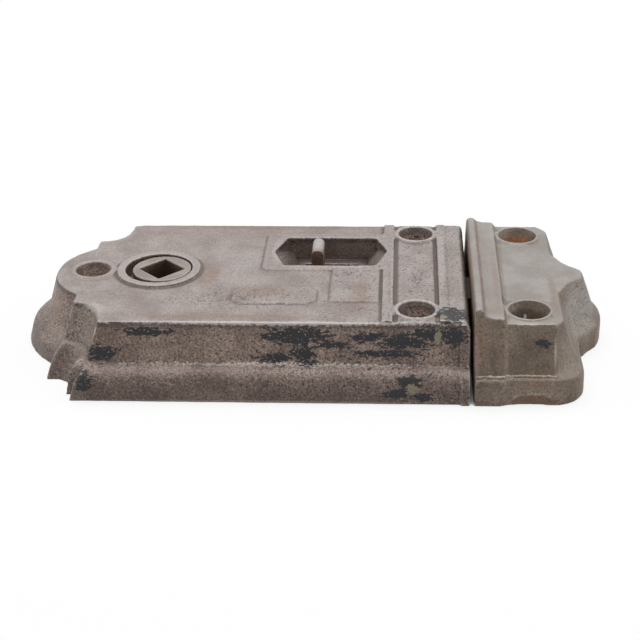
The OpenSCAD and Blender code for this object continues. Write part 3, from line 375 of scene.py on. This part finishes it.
caseLook = {
    "wallDark": tone(124, 105, 96), "wallPale": tone(160, 141, 130),
    "faceDark": tone(150, 137, 132), "facePale": tone(173, 163, 159),
    "faceFrom": 0.45, "faceTo": 0.9, "lowFace": 0.28,  # lift of the normal, share of a face on the ledge; the paler face colour is partly painted light
    "blotch": 0.12, "grain": 2.5,  # lumps to the mm
    "wallGrain": 3.3, "faceGrain": 1.2, "wallPits": 0.6, "facePits": 0.36, "foot": 0.38,
    "pitAndShadeColour": tone(58, 49, 45), "flecks": 0.45, "fleckColour": tone(190, 178, 171),
    "rubbed": (16.95, 17.3), "rub": 0.25, "rubColour": tone(186, 179, 176),  # mm above the floor
    "stainsAndPaintedLight": [
        colourPatchOf((140, 104, 80), 0.4, [  # rust
            ((12, -3, 17), (4, 9, 2)), ((-17, -1, 14), (7, 7, 5)), ((-27, -14, 9), (6, 6, 7)),
            ((18, -25.6, 17), (34, 2.6, 2)), ((50, -13, 17), (4, 12, 1)), ((27, -13, 17), (11, 6, 1)),
            ((57.4, -6, 17), (1.2, 26, 1)), ((68.6, 2, 17), (1, 26, 1)), ((25, 27.4, 16.6), (46, 2, 2)),
        ]),
        colourPatchOf((142, 117, 100), 0.75, [  # in the screw holes
            ((-18.6, 0, 12.4), (5, 5, 5)), ((63.6, 22.2, 12.6), (5, 5, 5)), ((63.6, -22.2, 12.6), (5, 5, 5)),
        ], scale=0.8, tear=0.8, soft=0.4),
        colourPatchOf((70, 66, 66), 0.7, [  # dark specks by the front holes
            ((64, -6, 17.2), (4.4, 17, 1)), ((52, -21, 17), (7, 5, 1)),
        ], scale=1.5, tear=3.6, soft=0.2, thin=0.75),
        colourPatchOf((74, 68, 64), 0.6, [  # dark specks on the near half of the face
            ((20, -16, 17), (40, 12, 1)), ((46, -2, 17), (11, 5, 1.2)),
        ], scale=1.3, tear=3.6, soft=0.2, thin=0.8),
        colourPatchOf((150, 140, 131), 0.7, [  # paler cove and lobe, painted light on these walls
            ((-17, -22, 11), (5.4, 8, 9)), ((-26, -16, 9), (8, 8, 8)),
        ], tear=0.8, soft=0.7),
        colourPatchOf((160, 130, 117), 0.7, [  # floor of the recess, pinkish, and lighter as painted light on this shaded floor
            ((42, 11.6, 10.6), (10, 9.4, 0.9)),
        ], scale=0.4, tear=0.5, soft=0.4),
        colourPatchOf((112, 104, 90), 0.6, [  # far edge
            ((24, 28.6, 16.8), (52, 0.9, 0.8)),
        ], scale=0.5, tear=1.2, soft=0.6),
        colourPatchOf((146, 132, 124), 0.45, [  # duller far side and front end
            ((22, 23, 17), (54, 6, 2)), ((71, 0, 17.4), (4, 32, 1)),
        ], scale=0.2, tear=0.8),
        colourPatchOf((184, 177, 175), 0.45, [  # rubbed between the hub and the recess
            ((20, 6, 17), (9, 10, 1.4)),
        ], scale=0.2, tear=0.8),
        colourPatchOf((192, 187, 186), 0.5, [  # rubbed border and ribs
            ((28.5, 12, 17.2), (2, 9.6, 0.6)), ((42, 2.4, 17.2), (13, 1.4, 0.6)),
            ((58.2, 0, 17.4), (1.2, 24, 0.6)), ((70, 6, 17.6), (1, 22, 0.6)),
        ], scale=0.5, tear=0.6, soft=0.5),
    ],
    "halo": 0.5, "haloColour": tone(112, 92, 78), "crest": 0.4,
    "hollowDark": 0.85, "faceHollowDark": 0.6, "hollowDarkColour": tone(52, 44, 40),
    "eaves": (15.0, 16.2),  # mm above the floor
    "edges": 0.6, "edgeColour": tone(216, 209, 205),
    "arris": [((28, -28.7, 16.9), (50, 1.4, 1.4)), ((-15, -22, 16.6), (9, 9, 2))],
    "wornSpotsAndHighlights": [  # these lie over the darkening in the hollows
        colourPatchOf((212, 204, 201), 0.8, [  # near edge of the face
            ((31, -28.5, 16.8), (45, 1.0, 0.8)),
        ], scale=1.5, tear=2.8, soft=0.6),
        colourPatchOf((214, 203, 196), 0.85, [  # speckled light line along the ledge's crest, wear and partly a painted highlight
            ((31, -32.2, 7.7), (50, 1.1, 0.8)),
        ], scale=1.7, tear=5.2, soft=0.3, thin=0.35),
        colourPatchOf((172, 162, 154), 0.6, [  # bottom edge
            ((31, -36.9, 0.3), (48, 1.2, 0.4)),
        ], scale=1.2, tear=1.6, soft=0.5),
        colourPatchOf((178, 168, 161), 0.65, [  # front corner, worn and partly a painted highlight
            ((75.9, -33, 9), (0.4, 6, 9)),
        ], scale=1.2, tear=1.6, soft=0.5),
        colourPatchOf((150, 138, 134), 0.5, [  # painted light on the far and right walls of the recess
            ((42, 20.2, 13.4), (15, 1.8, 3.8)), ((54, 11, 13.4), (4, 9, 4)),
        ], tear=0.6, soft=0.5),
        colourPatchOf((196, 189, 184), 0.8, [  # edges of the coves, worn and partly a painted highlight
            ((-13.8, -22.6, 16.3), (4.4, 6.4, 1.1)), ((-13.8, 22.6, 16.3), (4.4, 6.4, 1.1)),
            ((-12, -28.6, 12.6), (0.6, 0.9, 4.6)),
        ], scale=0.8, tear=1.2, soft=0.6),
    ],
    "paint": [
        ((0, -29.5, 14.6), (6.4, 3, 1)), ((-11, -31, 9.8), (4.6, 3, 1.9)), ((-14, -35, 4.6), (2.4, 3, 2.4)),
        ((35.4, -29.3, 13.8), (8, 3, 2.2)), ((37.6, -31, 9.8), (3, 3, 2.8)), ((31, -31, 8.9), (4.4, 3, 1.2)),
        ((44, -30.4, 11.8), (4.4, 3, 0.9)), ((52, -29.6, 13.6), (4, 3, 1.3)), ((61, -29.8, 12.8), (7, 3, 2)),
        ((67, -29.6, 14.4), (5, 3, 1.7)), ((72.4, -29.6, 14), (3, 3, 2.4)), ((57, -31, 10), (8, 3, 1.0)),
        ((62, -35.6, 5), (3, 3, 2)), ((58.6, -36.4, 2.6), (3.4, 3, 1.2)), ((65, -36.4, 1.8), (2.4, 3, 1.6)),
        ((72, -25, 17.4), (4, 4, 1)),
    ],
    "paintColour": tone(37, 36, 39),
    "chips": [
        colourPatchOf((152, 144, 122), 0.8, [
            ((68.6, -29.4, 14), (0.9, 3, 1.9)), ((62.6, -36, 3.8), (1.6, 2, 1.6)),
            ((69.2, -26.4, 17.4), (1.6, 1, 1)),
        ], scale=1.1, tear=2.4, soft=0.3),
    ],
    "rough": 0.5, "metal": 0.3, "bump": 0.2,  # bump in mm
}
keeperLook = dict(
    caseLook,
    wallDark=tone(104, 90, 77), wallPale=tone(132, 117, 102),
    faceDark=tone(150, 142, 136), facePale=tone(170, 164, 159), faceFrom=0.62, faceTo=0.92,
    blotch=0.1, wallGrain=1.5, faceGrain=0.4, wallPits=0.25, facePits=0.05, foot=0.0, flecks=0.15,
    rubbed=(17.3, 18.4), rub=0.2,
    stainsAndPaintedLight=[
        colourPatchOf((157, 150, 143), 0.9, [  # paler scoops of the tip, partly rubbed and partly painted light
            ((104, -9, 11), (7, 13, 9)), ((104, 9, 11), (7, 13, 9)),
        ], tear=0.6, soft=0.6),
        colourPatchOf((136, 104, 82), 0.45, [  # rust
            ((78, -32, 13), (3, 5, 7)), ((107.6, -8, 3), (5, 9, 4)), ((96.6, -14, 16.6), (1.6, 16, 2)),
            ((83, -10, 19), (1.4, 30, 1.6)), ((77.6, 0, 18), (1.4, 36, 3)), ((82.4, -24, 19), (5, 5, 2)),
            ((91, -35, 4), (8, 4, 5)),
        ]),
        colourPatchOf((158, 98, 58), 0.85, [  # rusty far hole
            ((90, 21.8, 13), (5.6, 5.6, 5.4)),
        ], scale=0.5, tear=0.7, soft=0.4),
        colourPatchOf((74, 56, 42), 0.85, [  # dark near hole
            ((90, -21.8, 13), (5.6, 5.6, 5.4)),
        ], scale=0.6, tear=0.5, soft=0.3),
        colourPatchOf((204, 198, 190), 0.9, [  # painted highlight, a glint in the near hole
            ((89.4, -19.2, 14), (0.5, 0.9, 1.2)),
        ], scale=0.6, tear=0.4, soft=0.5),
        colourPatchOf((160, 142, 128), 0.65, [  # paler foot
            ((90, -37, 3), (18, 3.4, 4.2)),
        ], scale=0.4, tear=1.0, soft=0.7),
        colourPatchOf((190, 178, 164), 0.75, [  # light outline of the arch on the foot
            ((90.5, -36.8, 0.4), (6.5, 2.4, 3.1)),
        ], scale=0.6, tear=0.7, soft=0.2),
        colourPatchOf((120, 90, 68), 0.9, [  # brown arch on the foot
            ((90.5, -36.8, 0.4), (6.1, 2.4, 2.7)),
        ], scale=0.6, tear=0.7, soft=0.2),
        colourPatchOf((148, 126, 118), 0.6, [  # paler corners of the near wall
            ((77.4, -33, 10), (1.3, 6, 10)), ((84.3, -32, 11), (0.7, 5, 8)),
        ], scale=0.4, tear=0.9, soft=0.6),
        colourPatchOf((82, 72, 60), 0.5, [  # darker middle of the near wall
            ((91, -31, 12), (5, 4, 4)), ((81.4, -32, 9.6), (2, 4, 5)),
        ], scale=0.5, tear=1.2, soft=0.7),
        colourPatchOf((150, 138, 126), 0.5, [  # paler shoulders
            ((98.6, -28, 9), (2.6, 8, 8)), ((98.6, 28, 9), (2.6, 8, 8)),
        ], scale=0.5, tear=1.0, soft=0.7),
        colourPatchOf((152, 136, 128), 0.4, [  # browner lip
            ((80, 0, 19), (5, 38, 3)),
        ], scale=0.2, tear=0.8),
    ],
    hollowDark=0.6, faceHollowDark=0.45, eaves=None,
    arris=[
        ((90, -28.6, 17), (7, 1.4, 1.4)), ((95.8, -31.7, 12), (1.4, 5, 6)), ((98.6, -22, 12), (2.4, 8, 7)),
    ],
    wornSpotsAndHighlights=[
        colourPatchOf((216, 208, 200), 0.75, [  # near edge of the panel
            ((90, -28.5, 17), (6, 0.5, 0.5)),
        ], scale=1.5, tear=3.4, soft=0.6, thin=0.2),
        colourPatchOf((186, 176, 165), 0.6, [  # edge down the near wall
            ((95.6, -31.7, 11.6), (0.42, 4, 5.6)),
        ], scale=1.2, tear=1.6, soft=0.7),
    ],
    paint=[((93, -30, 13), (2, 3, 1))], chips=[], bump=0.1,
)
plainIron = dict(caseLook, stainsAndPaintedLight=[], wornSpotsAndHighlights=[], paint=[], eaves=None, foot=0.0, rub=0.0)
wornLook = dict(
    plainIron,
    wallDark=tone(100, 82, 70), wallPale=tone(134, 114, 100),
    faceDark=tone(144, 132, 124), facePale=tone(170, 159, 151),
    wallGrain=1.2, faceGrain=0.4, wallPits=0.25, facePits=0.06, flecks=0.15,
    stainsAndPaintedLight=[
        colourPatchOf((190, 150, 124), 0.9, [  # painted light on the shaded walls inside the spindle hole, brown
            ((0, 0, 7.4), (5.6, 5.6, 10)),
        ], scale=0.5, tear=0.5, soft=0.3),
        colourPatchOf((122, 98, 82), 0.85, [  # painted light on the shaded near end of the thumb fin, brown
            ((38.6, 7.4, 13.6), (4, 1.6, 5.6)),
        ], scale=0.5, tear=0.5, soft=0.3),
        colourPatchOf((194, 190, 186), 0.75, [  # top of the thumb fin
            ((38.6, 13.6, 18.4), (4, 5.8, 1.6)),
        ], scale=0.5, tear=0.5, soft=0.5),
    ],
    bump=0.08,
)
# painted shade: a dark finish for the latch nose, which lies in the shaded gap by the keeper, and for the
# night bolt
shadedLatchLook = dict(
    wornLook,
    wallDark=tone(70, 60, 54), wallPale=tone(92, 80, 72),
    faceDark=tone(72, 63, 58), facePale=tone(94, 84, 77),
    stainsAndPaintedLight=[], edges=0.2, edgeColour=tone(130, 122, 116),
)
flashLook = dict(
    keeperLook,
    wallDark=tone(146, 132, 116), wallPale=tone(190, 178, 164),
    faceDark=tone(170, 160, 148), facePale=tone(204, 196, 186),
    stainsAndPaintedLight=[], paint=[], wornSpotsAndHighlights=[], lowFace=1.0,
)
innerLook = dict(
    plainIron,
    wallDark=tone(84, 74, 68), wallPale=tone(106, 94, 86),
    faceDark=tone(92, 82, 76), facePale=tone(112, 101, 94),
)


# Rolled steel: drawn grain along one way, some tarnish
plateLook = {
    "drawn": (0.12, 1.0, 1.0), "streakScale": 1.6, "streakShift": 2.0, "streakLevel": (0.82, 1.14),
    "clean": tone(126, 116, 108), "tarnish": tone(92, 72, 58), "tarnishScale": 0.09, "tarnishShift": 5.0,
    "rough": 0.46, "rougher": 0.2, "metal": 0.6, "bump": 0.03, "bumpStrength": 0.4,  # bump in mm
}
fastenerLook = dict(
    plateLook,
    drawn=(1, 1, 0.3), tarnishScale=0.4, clean=tone(160, 156, 152), tarnish=tone(112, 98, 88),
)
springLook = dict(fastenerLook, clean=tone(96, 98, 106), tarnish=tone(72, 68, 70), rough=0.34, metal=0.8)
steelFade = {"tarnish": (0.4, 0.66), "streak": (0.25, 0.75), "rough": (0.35, 0.7)}  # noise


def rolledSteel(name, look):
    material, tree, shader = startFinish(name)
    coords = millimetres(tree)
    drawn = vectorCalc(tree, "MULTIPLY", coords, look["drawn"])
    streak = cloud(tree, drawn, look["streakScale"], detail=3.0, rough=0.6, shift=look["streakShift"])
    tarnish = cloud(tree, coords, look["tarnishScale"], detail=6.0, rough=0.62, shift=look["tarnishShift"])
    colour = mixColour(tree, fade(tree, tarnish, *steelFade["tarnish"]), look["clean"], look["tarnish"])
    level = fade(tree, streak, *steelFade["streak"], *look["streakLevel"])
    colour = mixColour(tree, 1.0, colour, level, "MULTIPLY")
    rough = fade(tree, tarnish, *steelFade["rough"], look["rough"], look["rough"] + look["rougher"])
    addBump(tree, shader, streak, look["bump"], look["bumpStrength"])
    link(tree, colour, shader.inputs["Base Color"])
    link(tree, rough, shader.inputs["Roughness"])
    shader.inputs["Metallic"].default_value = look["metal"]
    return material


finishes = {
    "cast_iron_case": castIron("caseIron", caseLook),
    "cast_iron_keeper": castIron("keeperIron", keeperLook),
    "worn_iron": castIron("wornIron", wornLook),
    "inner_iron": castIron("innerIron", innerLook),
    "plate_steel": rolledSteel("plateSteel", plateLook),
    "fastener_steel": rolledSteel("fastenerSteel", fastenerLook),
    "spring_steel": rolledSteel("springSteel", springLook),
}
shadedLatchFinish = castIron("latchIronShaded", shadedLatchLook)
flashFinish = castIron("flashIron", flashLook)
for nodeName, node in frame["nodes"].items():
    node.data.materials.clear()
    node.data.materials.append(finishes[slotOf[nodeName]])
# painted shade: the latch pieces take the dark finish
for nodeName in ("latch_head", "night_bolt"):
    frame["nodes"][nodeName].data.materials[0] = shadedLatchFinish
print("finishes made for", len(finishes), "slots")


# Modelling helpers
weldGap = 0.001  # mm, nearer corners are one corner
smoothShare = 0.5  # how far each round of smoothing takes a corner to its neighbours


def pick(piece):
    bpy.ops.object.select_all(action="DESELECT")
    piece.select_set(True)
    bpy.context.view_layer.objects.active = piece


def addModifier(piece, kind, **settings):
    modifier = piece.modifiers.new(kind.lower(), kind)
    for key, value in settings.items():
        setattr(modifier, key, value)
    pick(piece)
    bpy.ops.object.modifier_apply(modifier=modifier.name)


def addCopy(mesh, pieceName):
    piece = bpy.data.objects.new(pieceName, mesh.copy())
    bpy.context.scene.collection.objects.link(piece)
    pick(piece)
    return piece


def copyNode(nodeName, pieceName):
    piece = addCopy(frame["nodes"][nodeName].data, pieceName)
    bpy.ops.object.mode_set(mode="EDIT")
    bpy.ops.mesh.select_all(action="SELECT")
    bpy.ops.mesh.remove_doubles(threshold=weldGap * mm)
    bpy.ops.object.mode_set(mode="OBJECT")
    return piece


def lumps(name, size):  # cloud texture whose lumps are size mm wide
    texture = bpy.data.textures.new(name, "CLOUDS")
    texture.noise_scale = size * mm
    texture.noise_depth = 3
    return texture


broadLumps = lumps("broadLumps", 7)
fineLumps = lumps("fineLumps", 1.2)


def roughen(piece, texture, height):  # height in mm
    addModifier(piece, "DISPLACE", texture=texture, texture_coords="LOCAL", mid_level=0.5,
                strength=height * mm)


def selectPart(piece, choose):  # selects the corners that choose says yes to
    pick(piece)
    bpy.ops.object.mode_set(mode="EDIT")
    bpy.ops.mesh.select_mode(type="VERT")
    bpy.ops.mesh.select_all(action="DESELECT")
    bpy.ops.object.mode_set(mode="OBJECT")
    for corner in piece.data.vertices:
        corner.select = choose(corner.co / mm)
    bpy.ops.object.mode_set(mode="EDIT")


def insideBox(spot, low, high):
    return low[0] < spot.x < high[0] and low[1] < spot.y < high[1] and low[2] < spot.z < high[2]


def thinOut(piece, boxes, share):  # fewer faces inside boxes, mm
    selectPart(piece, lambda spot: any(insideBox(spot, low, high) for low, high in boxes))
    bpy.ops.mesh.decimate(ratio=share)
    bpy.ops.object.mode_set(mode="OBJECT")


def softenParts(piece, parts):  # rounds off the edges inside boxes, mm
    for low, high, rounds, keepHeight in parts:
        selectPart(piece, lambda spot: insideBox(spot, low, high))
        bpy.ops.mesh.vertices_smooth(factor=smoothShare, repeat=rounds, zaxis=not keepHeight)
        bpy.ops.object.mode_set(mode="OBJECT")


def splitOff(piece, axis, place, partName):  # cuts away what lies beyond a place on an axis, mm
    selectPart(piece, lambda spot: spot[axis] > place)
    bpy.ops.mesh.separate(type="SELECTED")
    bpy.ops.object.mode_set(mode="OBJECT")
    part = [other for other in bpy.context.selected_objects if other != piece][0]
    part.name = partName
    return part


def markStand(piece, name, rounds):  # mm that each point stands out of a softened copy
    soft = addCopy(piece.data, "softCopy")
    addModifier(soft, "SMOOTH", factor=smoothShare, iterations=rounds)
    marks = piece.data.attributes.new(name, "FLOAT", "POINT")
    for corner, softCorner, value in zip(piece.data.vertices, soft.data.vertices, marks.data):
        value.value = (corner.co - softCorner.co).dot(corner.normal) / mm
    bpy.data.objects.remove(soft)


def fitPiece(piece, nodeName, finish=None, stands=True):  # stands for its node, or is added to it
    piece.data.materials.clear()
    piece.data.materials.append(finish or finishes[slotOf[nodeName]])
    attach(piece, bodyOf[nodeName])
    if stands:
        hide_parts(nodeName)
    piece.data.calc_loop_triangles()
    print(piece.name, "has", len(piece.data.loop_triangles), "triangles")


# Castings and worn pieces, each an aged copy of its solid
caseHollow = [  # low and high corners, mm
    ((-9, -26.5, 0.8), (58, 0.6, 14.8)), ((-9, 0.6, 0.8), (25, 26.5, 14.8)),
    ((25, 0.6, 0.8), (58, 26.5, 8.3)), ((58, -16, 0.8), (72.6, 16, 14.8)),
    ((-9, -31.4, 0.8), (73.4, 31.4, 5.9)), ((-11, -35.4, -1), (74, 35.4, 0.2)),
]
caseSoftParts = [  # low corner, high corner, rounds of smoothing, whether heights are kept
    ((-40, -40, 14), (-9.4, -7.5, 20), 16, False), ((-40, 7.5, 14), (-9.4, 40, 20), 16, False),
    ((-40, -40, 0.8), (-9.4, -7.5, 15), 6, False), ((-40, 7.5, 0.8), (-9.4, 40, 15), 6, False),
    ((-40, -40, 0.25), (-9.4, 40, 4), 5, True),
    ((-40, -7.6, 0.8), (-23.4, 7.6, 20), 14, False), ((-23.4, -6.4, 11), (-11.6, 6.4, 20), 8, False),
    ((27, 0.6, 11.4), (57, 23.4, 20), 8, False),
]
keeperSoftParts = [
    ((76, -40, 0.8), (112, -28.9, 15.6), 10, False), ((76, 28.9, 0.8), (112, 40, 15.6), 10, False),
    ((76, -40, 15.4), (84.9, 40, 21), 8, False), ((95.4, -29, 0.8), (112, 29, 20), 26, False),
    ((95, -40, 1.6), (112, -17, 10), 40, False), ((95, 17, 1.6), (112, 40, 10), 40, False),
]
agedPieces = {  # voxel, waves and grit in mm
    "case": {
        "name": "caseNearWalls", "voxel": 0.3, "softening": 1, "waves": 0.2, "grit": 0.12, "markRounds": 16,
        "hidden": caseHollow, "hiddenShare": 0.05, "softParts": caseSoftParts,
        "cuts": {"caseFace": (2, 15.4), "caseFarWalls": (1, 0.0)},  # axis number and place, mm
    },
    "keeper": {
        "name": "keeperCasting", "voxel": 0.3, "softening": 4, "waves": 0.2, "grit": 0.06, "markRounds": 12,
        "softParts": keeperSoftParts,
    },
    "spindle_hub": {
        "name": "hubCasting", "voxel": 0.26, "softening": 2, "waves": 0.1, "grit": 0.04, "markRounds": 10,
    },
    "latch_head": {
        "name": "latchNose", "voxel": 0.3, "softening": 2, "waves": 0.1, "grit": 0.04, "markRounds": 8,
        "finish": shadedLatchFinish,
    },
    "night_bolt": {
        "name": "nightBoltBar", "voxel": 0.3, "softening": 2, "waves": 0.1, "grit": 0.04, "markRounds": 8,
        "finish": shadedLatchFinish,
    },
    "thumb_slide": {
        "name": "thumbFin", "voxel": 0.2, "softening": 2, "waves": 0.1, "grit": 0.04, "markRounds": 8,
    },
    "back_plate": {
        "name": "backSheet", "voxel": 0.5, "softening": 1, "waves": 0.1, "grit": 0.02, "markRounds": 8,
    },
}
reliefRounds = 5  # the wider surroundings, times the rounds of the near ones


def ageSurface(piece, wear):
    addModifier(piece, "REMESH", mode="VOXEL", voxel_size=wear["voxel"] * mm)
    if "hidden" in wear:
        thinOut(piece, wear["hidden"], wear["hiddenShare"])
    addModifier(piece, "SMOOTH", factor=smoothShare, iterations=wear["softening"])
    softenParts(piece, wear.get("softParts", []))
    markStand(piece, "stand", wear["markRounds"])
    markStand(piece, "relief", wear["markRounds"] * reliefRounds)
    roughen(piece, broadLumps, wear["waves"])
    roughen(piece, fineLumps, wear["grit"])
    pick(piece)
    bpy.ops.object.shade_smooth()


for nodeName, wear in agedPieces.items():
    piece = copyNode(nodeName, wear["name"])
    ageSurface(piece, wear)
    for partName, (axis, place) in wear.get("cuts", {}).items():
        fitPiece(splitOff(piece, axis, place, partName), nodeName)
    fitPiece(piece, nodeName, wear.get("finish"))


# Swept pieces, a ring carried along X
def addRing(name, sides, radius, turnAxis, lift=0.0):
    bpy.ops.object.select_all(action="DESELECT")
    bpy.ops.mesh.primitive_circle_add(vertices=sides, radius=radius)
    piece = bpy.context.object
    piece.name = name
    bpy.ops.object.mode_set(mode="EDIT")
    bpy.ops.mesh.select_all(action="SELECT")
    bpy.ops.transform.rotate(value=math.pi / 2, orient_axis=turnAxis, center_override=(0, 0, 0))
    bpy.ops.transform.translate(value=(0, 0, lift))
    bpy.ops.object.mode_set(mode="OBJECT")
    return piece


def sweepRing(piece, angle, length, steps, place):  # closes both ends, then puts it in its place
    addModifier(piece, "SCREW", axis="X", angle=angle, screw_offset=length, steps=steps, render_steps=steps,
                use_smooth_shade=True)
    bpy.ops.object.mode_set(mode="EDIT")
    bpy.ops.mesh.select_all(action="SELECT")
    bpy.ops.mesh.fill_holes(sides=0)
    bpy.ops.mesh.normals_make_consistent(inside=False)
    bpy.ops.transform.translate(value=place)
    bpy.ops.object.mode_set(mode="OBJECT")


# Latch spring, round wire
coil = {"wire": 0.4, "turns": 9, "sides": 10, "steps": 20, "keep": 0.6}  # wire radius in mm


def addLatchCoil(setup):
    low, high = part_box("latch_spring")
    middle = (low + high) / 2
    wire = setup["wire"] * mm
    piece = addRing("latchCoil", setup["sides"], wire, "X", (high.z - low.z) / 2 - wire)
    sweepRing(piece, 2 * math.pi * setup["turns"], high.x - low.x - 2 * wire, setup["turns"] * setup["steps"],
              (low.x + wire, middle.y, middle.z))
    fitPiece(piece, "latch_spring")
    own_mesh(piece)


addLatchCoil(coil)


# Casting flash, an uneven ridge along the keeper's near ledge
flashShape = {"radius": 0.34, "sides": 10, "step": 0.2, "uneven": 1.0}  # mm
flashRidges = {  # mm
    "lipFlash": {"from": 77.4, "to": 83.9, "y": -35.8, "z": 6.8},
    "blockFlash": {"from": 84.2, "to": 95.6, "y": -35.05, "z": 6.7},
}


def addFlashRidge(name, setup):
    length = setup["to"] - setup["from"]
    piece = addRing(name, flashShape["sides"], flashShape["radius"] * mm, "Y")
    sweepRing(piece, 0, length * mm, round(length / flashShape["step"]),
              (setup["from"] * mm, setup["y"] * mm, setup["z"] * mm))
    roughen(piece, fineLumps, flashShape["uneven"])
    fitPiece(piece, "keeper", flashFinish, stands=False)


for ridgeName, setup in flashRidges.items():
    addFlashRidge(ridgeName, setup)


# Floor, world and lamps
stageLook = {
    "middle": (0.04, 0.0, 0.0),  # m, where the lamps point
    "floorSize": 5.0, "floorDrop": 0.1,  # m wide, mm under the part
    "bounce": 0.5, "catch": 0.24,  # grey of the floor as a reflector, and as it shows
    "glow": 0.82, "gapReach": 25.0, "gapFade": (0.02, 0.42),  # white of the floor, dimmed as painted shade in gaps of some mm
    "ambient": 0.3,
}
lamps = {  # place m, width m, power W
    "topSoftBox": {"place": (0.04, 0.2, 0.78), "width": 0.8, "power": 3.3},
    "leftSoftBox": {"place": (-0.75, 0.1, 0.3), "width": 0.5, "power": 1.0},
    "rightSoftBox": {"place": (0.85, 0.1, 0.3), "width": 0.5, "power": 1.35},
}


def mixByView(tree, lighting, shown):  # one shader lights the scene, the other is what shows
    path = tree.nodes.new("ShaderNodeLightPath")
    seen = calc(tree, "MAXIMUM", path.outputs["Is Camera Ray"], path.outputs["Is Glossy Ray"])
    seen = calc(tree, "MAXIMUM", seen, path.outputs["Is Transmission Ray"])
    choose = tree.nodes.new("ShaderNodeMixShader")
    tree.links.new(seen, choose.inputs[0])
    tree.links.new(lighting.outputs[0], choose.inputs[1])
    tree.links.new(shown.outputs[0], choose.inputs[2])
    return choose


def addGrey(tree, level):
    grey = tree.nodes.new("ShaderNodeBsdfDiffuse")
    grey.inputs["Color"].default_value = (level, level, level, 1)
    return grey


def paintFloor(tree, look):
    near = tree.nodes.new("ShaderNodeAmbientOcclusion")  # painted shade that keeps deep gaps dark
    near.inputs["Distance"].default_value = look["gapReach"] * mm
    glow = tree.nodes.new("ShaderNodeEmission")
    link(tree, fade(tree, near.outputs["AO"], *look["gapFade"], 0.0, look["glow"]), glow.inputs["Strength"])
    white = tree.nodes.new("ShaderNodeAddShader")
    tree.links.new(addGrey(tree, look["catch"]).outputs[0], white.inputs[0])
    tree.links.new(glow.outputs[0], white.inputs[1])
    choose = mixByView(tree, addGrey(tree, look["bounce"]), white)
    output = tree.nodes.new("ShaderNodeOutputMaterial")
    tree.links.new(choose.outputs[0], output.inputs["Surface"])


def addFloor(look):
    bpy.ops.object.select_all(action="DESELECT")
    bpy.ops.mesh.primitive_plane_add(size=look["floorSize"])
    floor = bpy.context.object
    floor.name = "floor"
    bpy.ops.object.mode_set(mode="EDIT")
    bpy.ops.transform.translate(value=Vector(look["middle"]) - Vector((0, 0, look["floorDrop"] * mm)))
    bpy.ops.object.mode_set(mode="OBJECT")
    material = bpy.data.materials.new("paleFloor")
    material.use_nodes = True
    material.node_tree.nodes.clear()
    paintFloor(material.node_tree, look)
    floor.data.materials.append(material)


def addSky(tree, strength):
    sky = tree.nodes.new("ShaderNodeBackground")
    sky.inputs["Color"].default_value = (1, 1, 1, 1)
    sky.inputs["Strength"].default_value = strength
    return sky


def addWorld(look):
    world = bpy.data.worlds.new("studio")
    bpy.context.scene.world = world
    world.use_nodes = True
    tree = world.node_tree
    tree.nodes.clear()
    choose = mixByView(tree, addSky(tree, look["ambient"]), addSky(tree, 1.0))
    output = tree.nodes.new("ShaderNodeOutputWorld")
    tree.links.new(choose.outputs[0], output.inputs["Surface"])


def addLamp(name, setup, aim):
    place = Vector(setup["place"])
    bpy.ops.object.light_add(type="AREA", location=place)
    lamp = bpy.context.object
    lamp.name = name
    lamp.data.shape = "SQUARE"
    lamp.data.size = setup["width"]
    lamp.data.energy = setup["power"]
    lamp.rotation_euler = (Vector(aim) - place).to_track_quat("-Z", "Y").to_euler()


addFloor(stageLook)
addWorld(stageLook)
for lampName, setup in lamps.items():
    addLamp(lampName, setup, stageLook["middle"])
print("stage set")
